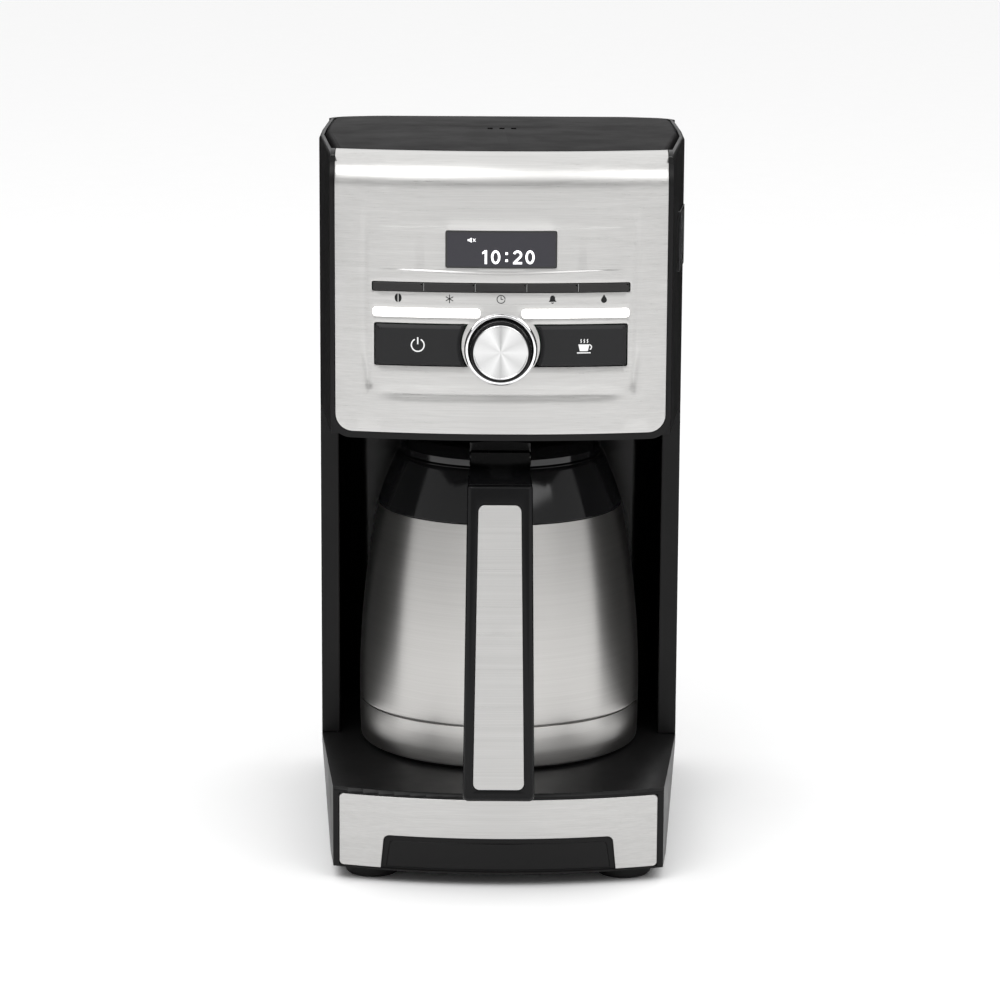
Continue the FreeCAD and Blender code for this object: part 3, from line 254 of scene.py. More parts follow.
ALONG = (9, 700, 2600)      # brushed sideways: long in X, fine in Z
ROUND = (14, 14, 3200)      # brushed round an upright axis
M = {
    "case": plastic("BodyPlastic", (0.0052, 0.0051, 0.0052), (0.0068, 0.0066, 0.0068), 0.36, 0.30,
                    specular=0.18),
    "lid": plastic("LidPlastic", (0.0060, 0.0055, 0.0058), (0.0078, 0.0072, 0.0075), 0.50, 0.30,
                   specular=0.03),
    "deck": plastic("DeckPlastic", (0.004, 0.004, 0.0041), (0.0055, 0.0055, 0.0056), 0.34, 0.25,
                    specular=0.15),
    "gloss": plastic("GlossPlastic", (0.0045, 0.0045, 0.005), (0.0065, 0.0065, 0.007), 0.11, 0.05, 0.002,
                     specular=0.5),
    "grip": plastic("GripPlastic", (0.0045, 0.0045, 0.0048), (0.0060, 0.0060, 0.0064), 0.20, 0.05, 0.002,
                    specular=0.15),
    "bay": plastic("BayPlastic", (0.002, 0.002, 0.0022), (0.003, 0.003, 0.0033), 0.16, 0.06, 0.002,
                   specular=0.2),
    "key": plastic("KeyPlastic", (0.014, 0.014, 0.0145), (0.018, 0.018, 0.019), 0.36, 0.25, specular=0.18),
    "strip": plastic("StripPlastic", (0.022, 0.021, 0.021), (0.030, 0.029, 0.029), 0.40, 0.25,
                     specular=0.2),
    "rubber": plastic("FootRubber", (0.008, 0.008, 0.008), (0.012, 0.012, 0.012), 0.72, 0.5),
    "silicone": plastic("Silicone", (0.42, 0.42, 0.40), (0.50, 0.50, 0.48), 0.45, 0.2),
    "board": plastic("CircuitBoard", (0.010, 0.055, 0.025), (0.014, 0.075, 0.035), 0.42, 0.4, 0.0012),
    "ink": plastic("BlackInk", (0.006, 0.006, 0.006), (0.009, 0.009, 0.009), 0.5, 0.2),
    "white": plastic("WhiteInk", (0.78, 0.78, 0.78), (0.84, 0.84, 0.84), 0.5, 0.2),
    "divider": plastic("StripDivider", (0.30, 0.30, 0.30), (0.36, 0.36, 0.36), 0.5, 0.2),
    "steel": brushed("FaceSteel", (0.48, 0.475, 0.466), (0.61, 0.605, 0.595), 0.26, 0.36, ALONG, 0.55),
    "carafe": brushed("CarafeSteel", (0.53, 0.52, 0.505), (0.60, 0.59, 0.575), 0.28, 0.34, ROUND, 0.60),
    "inner": brushed("VesselSteel", (0.40, 0.40, 0.395), (0.50, 0.50, 0.49), 0.25, 0.36, ROUND, 0.40),
    "part": brushed("PlatedSteel", (0.38, 0.38, 0.38), (0.48, 0.48, 0.48), 0.25, 0.38,
                    (300, 300, 300), 0.0),
    "alloy": brushed("CastAlloy", (0.42, 0.42, 0.42), (0.50, 0.50, 0.50), 0.42, 0.55, (500, 500, 500), 0.0),
    # Its colour carries painted highlights and painted shade in sectors round the cap's middle.
    "spun": spun("SpunAlloy", (0.36, 0.36, 0.36), (0.76, 0.76, 0.76)),
    "chrome": polished("Chrome", (0.86, 0.86, 0.87), 0.04),
    "screen": plastic("ScreenGlass", (0.030, 0.029, 0.036), (0.034, 0.033, 0.040), 0.12, 0.03, 0.003),
    "digits": glowing("ScreenDigits", (0.95, 0.95, 0.97), 0.9),
    "light": glowing("LightBar", (1.0, 0.99, 0.97), 2.6),
    "tank": clear("TankPlastic", (0.25, 0.25, 0.26), 0.10, 0.75),
    "pane": clear("WindowPane", (0.07, 0.07, 0.075), 0.08, 0.25),
}

# ---------------------------------------------------------------- making pieces

WELD = 2e-6                 # metres within which the CAD mesh's corners are one
FLAT = math.radians(0.4)    # facets that meet at less than this are merged
EDGE_CLEARANCE = 0.75       # between an outline and the points inside it
SHARPEST = 0.5              # limits how far an inset runs out at a sharp corner
FILLET_STEPS = 5


def finish_piece(name, mesh, body, material, nodes=(), sharp=32):
    """Links a mesh as a piece, shades it, gives it a material and lets it ride a body."""
    mesh.shade_smooth()
    mesh.set_sharp_from_angle(angle=math.radians(sharp))
    piece = bpy.data.objects.new(name, mesh)
    bpy.context.scene.collection.objects.link(piece)
    mesh.materials.clear()
    mesh.materials.append(M[material])
    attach(piece, body)
    if nodes:
        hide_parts(*nodes)
    return piece


def bevel(piece, width, segments=3, angle=30):
    """Rounds a piece's edges."""
    modifier = piece.modifiers.new("Bevel", "BEVEL")
    modifier.width = width * MM
    modifier.segments = segments
    modifier.limit_method = "ANGLE"
    modifier.angle_limit = math.radians(angle)
    modifier.use_clamp_overlap = True
    modifier.harden_normals = False
    modifier.miter_outer = "MITER_ARC"


BODY_OF = {node: body for body, members in frame["record"]["behaviour"]["bodies"].items()
           for node in members}


def softened(node, material, width):
    """The node's own shape with its coplanar facets merged and its edges rounded."""
    form = bmesh.new()
    form.from_mesh(frame["nodes"][node].data)
    bmesh.ops.remove_doubles(form, verts=form.verts, dist=WELD)
    bmesh.ops.dissolve_limit(form, angle_limit=FLAT, verts=form.verts, edges=form.edges)
    mesh = bpy.data.meshes.new(node + "_shape")
    form.to_mesh(mesh)
    form.free()
    piece = finish_piece(node + "_shape", mesh, BODY_OF[node], material, (node,))
    bevel(piece, width)


def arc(cx, cy, radius, start, end, count=8):
    """Points on an arc, angles in degrees."""
    turns = (math.radians(start + (end - start) * step / count) for step in range(count + 1))
    return [(cx + radius * math.cos(a), cy + radius * math.sin(a)) for a in turns]


def round_rect(x0, y0, x1, y1, r, count=5):
    """A rectangle with rounded corners, anticlockwise."""
    return (arc(x1 - r, y1 - r, r, 0, 90, count) + arc(x0 + r, y1 - r, r, 90, 180, count)
            + arc(x0 + r, y0 + r, r, 180, 270, count) + arc(x1 - r, y0 + r, r, 270, 360, count))


def dense(points, step):
    """The closed outline with its long runs divided."""
    out = []
    for (ax, ay), (bx, by) in zip(points, points[1:] + points[:1]):
        parts = max(1, math.ceil(math.hypot(bx - ax, by - ay) / step))
        out += [(ax + (bx - ax) * i / parts, ay + (by - ay) * i / parts) for i in range(parts)]
    return out


def inset(points, distance):
    """The closed anticlockwise outline moved inwards."""
    p = np.array(points)
    before, after = p - np.roll(p, 1, 0), np.roll(p, -1, 0) - p
    n1 = np.stack([-before[:, 1], before[:, 0]], 1) / np.linalg.norm(before, axis=1)[:, None]
    n2 = np.stack([-after[:, 1], after[:, 0]], 1) / np.linalg.norm(after, axis=1)[:, None]
    middle = n1 + n2
    scale = 2 / np.maximum(np.sum(middle * middle, 1), SHARPEST)
    return [tuple(q) for q in p + middle * scale[:, None] * distance]


def filled(outer, holes=(), extra=()):
    """Triangles over an outline with holes, with extra points inside it."""
    loops = [outer, *holes]
    points, edges = [], []
    for ring in loops:
        start = len(points)
        points += ring
        edges += [(start + i, start + (i + 1) % len(ring)) for i in range(len(ring))]
    a = np.array([points[e[0]] for e in edges])
    b = np.array([points[e[1]] for e in edges])

    def within(q):
        crossing = (a[:, 1] > q[1]) != (b[:, 1] > q[1])
        reach = (b[:, 0] - a[:, 0]) * (q[1] - a[:, 1]) / np.where(crossing, b[:, 1] - a[:, 1], 1) + a[:, 0]
        return np.count_nonzero(crossing & (q[0] < reach)) % 2 == 1

    def clearance(q):
        d = b - a
        t = np.clip(np.sum((np.array(q) - a) * d, 1) / np.sum(d * d, 1), 0, 1)
        return np.min(np.linalg.norm(a + d * t[:, None] - np.array(q), axis=1))

    inner = [q for q in extra if within(q) and clearance(q) > EDGE_CLEARANCE]
    seeds = [Vector(q) for q in points + inner]
    verts, _, faces, *_ = geometry.delaunay_2d_cdt(seeds, edges, [], 0, 1e-6)
    verts = [tuple(v) for v in verts]
    kept = [f for f in faces if within(np.mean([verts[i] for i in f], axis=0))]
    return verts, kept


def mesh_from(name, verts, faces):
    """A mesh from station points: doubled points joined, loose ones dropped, faces turned one way."""
    mesh = bpy.data.meshes.new(name)
    mesh.from_pydata([place(*v) for v in verts], [], faces)
    form = bmesh.new()
    form.from_mesh(mesh)
    bmesh.ops.remove_doubles(form, verts=form.verts, dist=1e-6)
    loose = [v for v in form.verts if not v.link_faces]
    bmesh.ops.delete(form, geom=loose, context="VERTS")
    bmesh.ops.recalc_face_normals(form, faces=form.faces)
    form.to_mesh(mesh)
    form.free()
    return mesh


def on_face(u, v, w):
    """A point of the bowed face: u sideways, v up, w out of it; past its bend v runs back."""
    bend_v = FACE_TOP - FACE_BEND
    out, z = w, v
    if v > bend_v:
        angle = (v - bend_v) / FACE_BEND
        out = (FACE_BEND + w) * math.cos(angle) - FACE_BEND
        z = bend_v + (FACE_BEND + w) * math.sin(angle)
    return u, FACE_Y - math.sqrt((FACE_R + out) ** 2 - u * u), z


def plate(name, outline, levels, body, material, nodes=(), mapping=on_face, step=2.5, sharp=32):
    """A plate over an anticlockwise outline: rings at (inset, height), closed at both ends."""
    outline = dense(outline, step)
    count = len(outline)
    rings = [inset(outline, amount) for amount, _ in levels]
    verts = [mapping(u, v, height) for ring, (_, height) in zip(rings, levels) for u, v in ring]
    faces = []
    for k in range(len(levels) - 1):
        back, front = k * count, (k + 1) * count
        faces += [(back + i, back + (i + 1) % count, front + (i + 1) % count, front + i)
                  for i in range(count)]
    for ring, (_, height), at_front in ((rings[0], levels[0], False), (rings[-1], levels[-1], True)):
        us, vs = [p[0] for p in ring], [p[1] for p in ring]
        grid = [(u, v) for u in np.arange(min(us) + step, max(us), step)
                for v in np.arange(min(vs) + step, max(vs), step)] if at_front else []
        cap_verts, cap_faces = filled(ring, (), grid)
        start = len(verts)
        verts += [mapping(u, v, height) for u, v in cap_verts]
        faces += [tuple(start + i for i in f) for f in cap_faces]
    finish_piece(name, mesh_from(name, verts, faces), body, material, nodes, sharp)


def fillet(points):
    """Rounds the corners of a closed section; a point may carry its radius as a third value."""
    out = []
    total = len(points)
    for i, point in enumerate(points):
        r = point[2] if len(point) > 2 else 0
        if not r:
            out.append(point[:2])
            continue
        here, prev, following = (np.array(q[:2], float) for q in
                                 (point, points[i - 1], points[(i + 1) % total]))
        back, ahead = prev - here, following - here
        back, ahead = back / np.linalg.norm(back), ahead / np.linalg.norm(ahead)
        half = math.acos(np.clip(np.dot(back, ahead), -1, 1)) / 2
        reach = r / math.tan(half)
        centre = here + (back + ahead) / np.linalg.norm(back + ahead) * r / math.sin(half)
        start, end = here + back * reach - centre, here + ahead * reach - centre
        a0, a1 = math.atan2(start[1], start[0]), math.atan2(end[1], end[0])
        turn = (a1 - a0 + math.pi) % (2 * math.pi) - math.pi
        angles = [a0 + turn * step / FILLET_STEPS for step in range(FILLET_STEPS + 1)]
        out += [(centre[0] + r * math.cos(a), centre[1] + r * math.sin(a)) for a in angles]
    return out


def bowed(start, end, radius, count=24):
    """Points from start to end along an arc that bulges away from the axis."""
    (r0, z0), (r1, z1) = start, end
    length = math.hypot(r1 - r0, z1 - z0)
    lift = radius - math.sqrt(radius ** 2 - length ** 2 / 4)
    nr, nz = (z1 - z0) / length, (r0 - r1) / length
    points = []
    for i in range(count + 1):
        t = i / count
        bulge = lift * (1 - (2 * t - 1) ** 2)
        points.append((r0 + (r1 - r0) * t + nr * bulge, z0 + (z1 - z0) * t + nz * bulge))
    return points


def lathe(name, section, body, material, nodes=(), segments=128, axis="Z", centre=(0, 0, 0)):
    """Revolves a closed section of (radius, height) points about an upright or front-facing axis."""
    verts, faces = [], []
    for step in range(segments):
        angle = 2 * math.pi * step / segments
        for r, h in section:
            a, b = r * math.cos(angle), r * math.sin(angle)
            offset = (a, b, h) if axis == "Z" else (a, -h, b)
            verts.append(tuple(c + o for c, o in zip(centre, offset)))
    count = len(section)
    for step in range(segments):
        ahead = (step + 1) % segments
        for i in range(count):
            j = (i + 1) % count
            faces.append((step * count + i, step * count + j, ahead * count + j, ahead * count + i))
    mesh = mesh_from(name, verts, faces)
    form = bmesh.new()
    form.from_mesh(mesh)
    bmesh.ops.dissolve_degenerate(form, edges=form.edges, dist=1e-7)
    bmesh.ops.recalc_face_normals(form, faces=form.faces)
    form.to_mesh(mesh)
    form.free()
    finish_piece(name, mesh, body, material, nodes)


def smooth(value, start, end):
    """0 before start, 1 after end, with an even slope between them."""
    t = min(1, max(0, (value - start) / (end - start)))
    return t * t * (3 - 2 * t)


# ---------------------------------------------------------------- steel face

# Openings of the panel: half widths or distances from its middle line, and heights.
WINDOW_HALF, WINDOW_LOW, WINDOW_HIGH = 26.1, 252.05, 269.75
STRIP_HALF, STRIP_LOW, STRIP_HIGH = 60.55, 240.55, 245.25
BAR_IN, BAR_OUT, BAR_LOW, BAR_HIGH = 9.6, 60.2, 228.6, 233.0
PAD_OUT, PAD_LOW, PAD_HIGH = 59.2, 205.75, 225.45
PAD_MIDDLE = (PAD_LOW + PAD_HIGH) / 2
PAD_ARC = 18.7              # radius of the pads' hollow ends round the knob
PAD_CORNER = 1.0
KNOB_HOLE = 15.4
GAP = 0.35                  # between a key and its opening
SHEET = 0.9


def pad_outline(side, gap):
    """The long button whose inner end is hollowed round the knob."""
    tall = PAD_HIGH - PAD_MIDDLE + gap
    r = PAD_ARC - gap
    reach = math.degrees(math.asin(tall / r))
    hollow = [(x, PAD_MIDDLE + z) for x, z in arc(0, 0, r, reach, -reach, 14)]
    far = PAD_OUT + gap
    lower = arc(far - PAD_CORNER, PAD_LOW - gap + PAD_CORNER, PAD_CORNER, 270, 360, 4)
    upper = arc(far - PAD_CORNER, PAD_HIGH + gap - PAD_CORNER, PAD_CORNER, 0, 90, 4)
    shape = hollow + lower + upper
    return shape if side > 0 else [(-x, z) for x, z in reversed(shape)]


# The panel's stamping: a channel up each side, a trough below, and a shallow lens round the display.
CHANNEL_X, CHANNEL_WIDTH, CHANNEL_DEPTH = 63.9, 1.35, 0.95
CHANNEL_LEAN = 1.6          # inwards, at its foot
CHANNEL_UPPER, CHANNEL_LOWER = 0.42, 0.58       # shares of its depth that fade out at two heights
TROUGH_Z, TROUGH_WIDTH, TROUGH_DEPTH = 192.3, 2.3, 0.75
LENS_TOP, LENS_LOW, LENS_DEPTH = 271.1, 248.9, 0.42
LENS_RISE, LENS_HALF = 1.9, 54      # of its lower edge, from the middle outwards
LENS_WALL = 0.35            # half the height of its upper edge's slope
CREASE, SLOPE = 0.6, 1.3    # height of its lower edge's slope: at the ends, and what the middle adds


def lens_edge(x):
    """Bottom and top of the slope along the lens's lower edge, which closes to a crease."""
    across = abs(x)
    start = LENS_LOW + LENS_RISE * smooth(across, 0, LENS_HALF)
    return start, start + CREASE + SLOPE * smooth(across, LENS_HALF, 0)


def stamped(x, z):
    """Height of the stamped panel over the plain bowed face; negative, as it is stamped inwards."""
    across = abs(x)
    lean = CHANNEL_LEAN * smooth(z, 214, 195)
    channel = math.exp(-((across - CHANNEL_X + lean) / CHANNEL_WIDTH) ** 2)
    strength = CHANNEL_UPPER * smooth(z, 284, 262) + CHANNEL_LOWER * smooth(z, 218, 206)
    channel *= smooth(z, 193.5, 197) * strength
    trough = math.exp(-((z - TROUGH_Z) / TROUGH_WIDTH) ** 2) * smooth(across, 61, 44)
    fade = smooth(across, 60, 34)
    start, end = lens_edge(x)
    lens = fade * smooth(z, start, end) * smooth(z, LENS_TOP + LENS_WALL, LENS_TOP - LENS_WALL)
    return -(CHANNEL_DEPTH * channel + TROUGH_DEPTH * trough + LENS_DEPTH * lens)


def grid_points(x_low, x_high, x_step, z_low, z_high, z_step):
    return [(x, z) for x in np.arange(x_low, x_high, x_step) for z in np.arange(z_low, z_high, z_step)]


def clear_of_stamping(x, z):
    """Whether a point lies outside the bands of the trough, the lens and the channels."""
    return not 186 < z < 198 and not 247.5 < z < 273 and not 58 < abs(x) < 68


def thinned(points, x_cell=0.35, z_cell=0.2):
    """The points, in their order, with only the first one of each small cell."""
    kept, seen = [], set()
    for x, z in points:
        key = (round(x / x_cell), round(z / z_cell))
        if key not in seen:
            seen.add(key)
            kept.append((x, z))
    return kept


def make_face():
    half, top_v = FACE_HALF, FACE_TOP - FACE_BEND + FACE_BEND * math.pi / 2
    corner = 8.0
    outer = (arc(half - corner, FACE_LOW + corner, corner, 270, 360, 8) + [(half, top_v), (-half, top_v)]
             + arc(-half + corner, FACE_LOW + corner, corner, 180, 270, 8))
    holes = [
        round_rect(-WINDOW_HALF, WINDOW_LOW, WINDOW_HALF, WINDOW_HIGH, 1.0),
        round_rect(-STRIP_HALF, STRIP_LOW, STRIP_HALF, STRIP_HIGH, 0.8),
        round_rect(BAR_IN, BAR_LOW, BAR_OUT, BAR_HIGH, 1.6),
        round_rect(-BAR_OUT, BAR_LOW, -BAR_IN, BAR_HIGH, 1.6),
        pad_outline(-1, GAP), pad_outline(1, GAP), arc(0, KNOB_Z, KNOB_HOLE, 0, 352, 44),
    ]
    # Points inside the sheet: rows over the bend, an even grid, then finer ones where it is stamped.
    extra = grid_points(-77, 78, 3.5, 288.3, 314, 1.1)
    extra += [point for point in grid_points(-77, 78, 3.0, 175, 288, 3.0) if clear_of_stamping(*point)]
    for side in (-1, 1):
        extra += grid_points(side * 63 - 4.2, side * 63 + 4.2, 0.55, 191.1, 283, 2.2)
        extra += grid_points(side * 44 - 18.3, side * 44 + 18.2, 1.3, LENS_TOP - 0.5, LENS_TOP + 0.51, 0.2)
    for x in np.arange(-60.5, 61, 1.1):
        start, end = lens_edge(x)
        extra += [(x, start + (end - start) * t) for t in (-0.25, 0, 0.17, 0.34, 0.5, 0.67, 0.84, 1, 1.25)]
    extra += grid_points(-61.3, 62, 1.9, 187.3, 197.3, 0.7)
    loops = [dense(ring, 2.0) for ring in [outer] + holes]
    verts, faces = filled(loops[0], loops[1:], thinned(extra))
    points = [on_face(x, v, stamped(x, v)) for x, v in verts]
    mesh = mesh_from("face_panel_sheet", points, faces)
    form = bmesh.new()
    form.from_mesh(mesh)
    if sum(face.normal.y for face in form.faces) > 0:
        bmesh.ops.reverse_faces(form, faces=form.faces)
    form.to_mesh(mesh)
    form.free()
    sheet = finish_piece("face_panel_sheet", mesh, "machine", "steel", ("face_panel",), 50)
    solid = sheet.modifiers.new("Sheet", "SOLIDIFY")
    solid.thickness = SHEET * MM
    solid.offset = -1
    bevel(sheet, 0.22, 2, 60)


make_face()


# The base's front is bowed as well, between its corners; the trim lies in a recess of it.
BASE_FRONT = -low("base_housing")[1]
BASE_CORNER_X, BASE_SAG, TRIM_RECESS = 79.6, 12.5, 1.0
BASE_R = (BASE_CORNER_X ** 2 + BASE_SAG ** 2) / (2 * BASE_SAG) - TRIM_RECESS
BASE_Y = BASE_R + TRIM_RECESS - BASE_FRONT


def on_base(u, v, w):
    """A point of the recess: u sideways, v up, w out of it."""
    return u, BASE_Y - math.sqrt((BASE_R + w) ** 2 - u * u), v


def make_arch_panel():
    """The black panel inside the trim's arch."""
    top, foot, corner = -24.6, low("front_trim")[2] + 0.6, 2.2
    half_top, half_foot = 52.4, 54.0
    outline = ([(-half_foot, foot), (half_foot, foot)]
               + arc(half_top - corner, top - corner, corner, 0, 90, 4)
               + arc(corner - half_top, top - corner, corner, 90, 180, 4))
    plate("arch_panel", outline, [(0, -0.8), (0, 0.1), (0.35, 0.45)], "machine", "case",
          mapping=on_base)


make_arch_panel()

# ---------------------------------------------------------------- display, light bars and buttons


# What each plate is made of, back to front: (inset, height over the face).
SURROUND_LEVELS = [(0, -1.9), (0, -0.35), (0.12, -0.25)]
GLASS_LEVELS = [(0, -0.6), (0, -0.22)]
BAR_LEVELS = [(0, -3.4), (0, 0.0), (0.35, 0.35), (0.9, 0.5)]
PAD_LEVELS = [(0.25, -3.6), (0.25, 0.5), (0.4, 0.72), (1.75, 1.5), (2.05, 1.6)]
KEY_LEVELS = [(0, -3.6), (0, 0.15), (0.45, 0.5)]
DIVIDER_LEVELS = [(0, -2.0), (0, 0.35)]
FUNCTION_KEYS = ["strength_button", "iced_button", "auto_button", "tone_button", "clean_button"]
PITCH = (STRIP_HALF - GAP) * 2 / len(FUNCTION_KEYS)


def window_outline(margin, corner):
    return round_rect(-WINDOW_HALF + margin, WINDOW_LOW + margin, WINDOW_HALF - margin,
                      WINDOW_HIGH - margin, corner)


def make_controls():
    plate("display_surround", window_outline(0.1, 0.9), SURROUND_LEVELS,
          "machine", "gloss", ("display_window",))
    plate("display_glass", window_outline(0.9, 0.5), GLASS_LEVELS, "machine", "screen")
    for side in (-1, 1):
        x0, x1 = sorted((side * (BAR_IN + 0.15), side * (BAR_OUT - 0.15)))
        plate("light_bar_" + ("left" if side < 0 else "right"),
              round_rect(x0, BAR_LOW + 0.15, x1, BAR_HIGH - 0.15, 1.5),
              BAR_LEVELS, "machine", "light", ("light_bars",) if side < 0 else ())
    for name, side in (("power_button", -1), ("brew_button", 1)):
        plate(name + "_cap", pad_outline(side, 0), PAD_LEVELS,
              name + "_body", "key", (name,), sharp=16)
    low_z, high_z = STRIP_LOW + GAP, STRIP_HIGH - GAP
    for at, name in enumerate(FUNCTION_KEYS):
        x = PITCH * (at - 2)
        left, right = x - PITCH / 2, x + PITCH / 2
        plate(name + "_cap", round_rect(left + 0.2, low_z, right - 0.2, high_z, 0.3, 3), KEY_LEVELS,
              name + "_body", "strip", (name,), sharp=16)
        if at:
            line = round_rect(left - 0.1, STRIP_LOW + 0.5, left + 0.1, STRIP_HIGH - 0.5, 0.05, 2)
            plate("strip_divider_%d" % at, line, DIVIDER_LEVELS, "machine", "divider")


make_controls()

# ---------------------------------------------------------------- printed marks


def mark(name, strokes, x, z, height, body, material, size=1.0):
    """Printed strokes on the face: each is an anticlockwise outline about the mark's middle."""
    for number, outline in enumerate(strokes):
        shape = [(x + u * size, z + v * size) for u, v in outline]
        plate("%s_%d" % (name, number), shape, [(0, height), (0, height + 0.05)], body, material,
              step=1.5)


def band(points, width):
    """An open line drawn with a width, as a closed outline."""
    p = np.array(points, float)
    along = np.gradient(p, axis=0)
    normal = np.stack([-along[:, 1], along[:, 0]], 1) / np.linalg.norm(along, axis=1)[:, None]
    left, right = p + normal * width / 2, p - normal * width / 2
    return [tuple(q) for q in right] + [tuple(q) for q in left[::-1]]


def ring_band(cx, cy, r, start, end, width, count=20):
    return arc(cx, cy, r + width / 2, start, end, count) + arc(cx, cy, r - width / 2, end, start, count)


def bar(x0, y0, x1, y1, width):
    return band([(x0, y0), ((x0 + x1) / 2, (y0 + y1) / 2), (x1, y1)], width)


def make_marks():
    on_panel, on_pad, on_glass = 0.03, 1.6, -0.21       # heights over the face
    power = [ring_band(0, 0, 3.0, 118, 422, 0.62), bar(0, 0.4, 0, 3.7, 0.62)]
    mark("power_mark", power, -38.9, PAD_MIDDLE + 0.1, on_pad, "power_button_body", "white")
    cup = [
        [(-2.6, 0.9), (-1.9, -2.3), (1.9, -2.3), (2.6, 0.9)], ring_band(2.5, -0.4, 1.1, -75, 95, 0.5, 10),
        bar(-3.2, -3.1, 3.2, -3.1, 0.5),
    ] + [band([(dx, 1.6), (dx + 0.35, 2.2), (dx, 2.8), (dx + 0.35, 3.4)], 0.42) for dx in (-1.5, 0, 1.5)]
    mark("brew_mark", cup, 38.9, PAD_MIDDLE - 0.1, on_pad, "brew_button_body", "white")
    bean = [[(1.1 * math.cos(math.radians(t)) - 0.16 * side, 1.55 * math.sin(math.radians(t)))
             for t in range(first, first + 181, 15)] for side, first in ((1, 90), (-1, -90))]
    arms = [(1.55 * math.cos(math.radians(t)), 1.55 * math.sin(math.radians(t))) for t in (30, 90, 150)]
    flake = [bar(-u, -v, u, v, 0.3) for u, v in arms]
    clock = [ring_band(0, 0, 1.45, 0, 350, 0.3), bar(0, -0.1, 0, 1.05, 0.28), bar(-0.1, 0, 0.8, 0, 0.28)]
    bell_side = [(1.4, -0.9), (0.95, -0.2), (0.85, 0.8), (0.35, 1.4)]
    bell = [[(-1.4, -0.9)] + bell_side + [(-u, v) for u, v in bell_side[:0:-1]],
            ring_band(0, -1.15, 0.3, 180, 360, 0.3, 6)]
    drop = [[(0, 1.6), (-0.65, 0.45)] + arc(0, -0.45, 1.05, 155, 385, 16)]
    label_z = 237.6
    for at, shape in enumerate((bean, flake, clock, bell, drop)):
        mark("function_mark_%d" % at, shape, PITCH * (at - 2), label_z, on_panel, "machine", "ink", 1.3)
    muted = [[(-1.6, -0.5), (-0.7, -0.5), (0.5, -1.4), (0.5, 1.4), (-0.7, 0.5), (-1.6, 0.5)],
             bar(1.2, -0.9, 2.7, 0.9, 0.28), bar(1.2, 0.9, 2.7, -0.9, 0.28)]
    mark("display_mark", muted, -14.3, 265.3, on_glass, "machine", "digits", 0.85)
    tall, thick, wide = 6.5, 1.05, 4.3

    def oval():
        """A zero: an upright oval ring in two halves."""
        quarter = math.pi / 2
        outer = [(wide / 2 * math.cos(a), tall / 2 * math.sin(a))
                 for a in np.linspace(-quarter, quarter, 15)]
        inner = [((wide / 2 - thick) * math.cos(a), (tall / 2 - thick) * math.sin(a))
                 for a in np.linspace(quarter, -quarter, 15)]
        right = outer + inner
        return [right, [(-u, v) for u, v in reversed(right)]]

    top, foot = tall / 2, -tall / 2
    one = [[(-0.3, foot), (0.75, foot), (0.75, top), (-0.2, top), (-1.5, top - 1.0), (-1.5, top - 1.9),
            (-0.3, top - 1.35)]]
    two_line = arc(0, top - 2.15, 1.6, 165, -35, 12) + [(-1.3, foot + 0.9)]
    two = [band(two_line, thick), [(-2.1, foot), (2.1, foot), (2.1, foot + 1.0), (-2.1, foot + 1.0)]]
    dots = [round_rect(-0.6, v - 0.6, 0.6, v + 0.6, 0.15, 2) for v in (-1.6, 1.7)]
    digits_z = 257.4
    shown = (("one", one, -7.4), ("zero_a", oval(), -2.6), ("colon", dots, 2.5), ("two", two, 7.6),
             ("zero_b", oval(), 13.4))
    for name, shape, x in shown:
        mark("digit_" + name, shape, x, digits_z, on_glass, "machine", "digits")


make_marks()

# ---------------------------------------------------------------- knob


def make_knob():
    """Three turned pieces; their sections are (radius, height over the face, rounding)."""
    centre = (0, -FACE_FRONT, KNOB_Z)
    ring = [(14.9, -1.0), (14.9, 0.9, 0.3), (15.4, 1.4, 0.4), (16.4, 1.3, 0.5), (17.15, 0.3, 0.4),
            (17.2, -0.4), (15.3, -0.5), (15.3, -1.0)]
    rim = [(3.1, -0.5), (14.2, -0.5, 0.3), (14.4, 0.4, 0.2), (14.35, 7.3, 0.5), (13.75, 8.4, 0.5),
           (12.95, 8.4), (12.95, 7.65), (3.1, 7.65)]
    face = [(0, 7.7), (12.85, 7.7), (12.85, 8.8, 0.15), (12.45, 9.0, 0.1), (12.1, 8.75), (0.0, 8.45)]
    lathe("knob_ring_chrome", fillet(ring), "machine", "chrome", ("knob_ring",), 128, "Y", centre)
    lathe("knob_rim", fillet(rim), "knob", "grip", ("knob_body",), 128, "Y", centre)
    lathe("knob_face", fillet(face), "knob", "spun", ("knob_cap",), 128, "Y", centre)


make_knob()

# ---------------------------------------------------------------- carafe


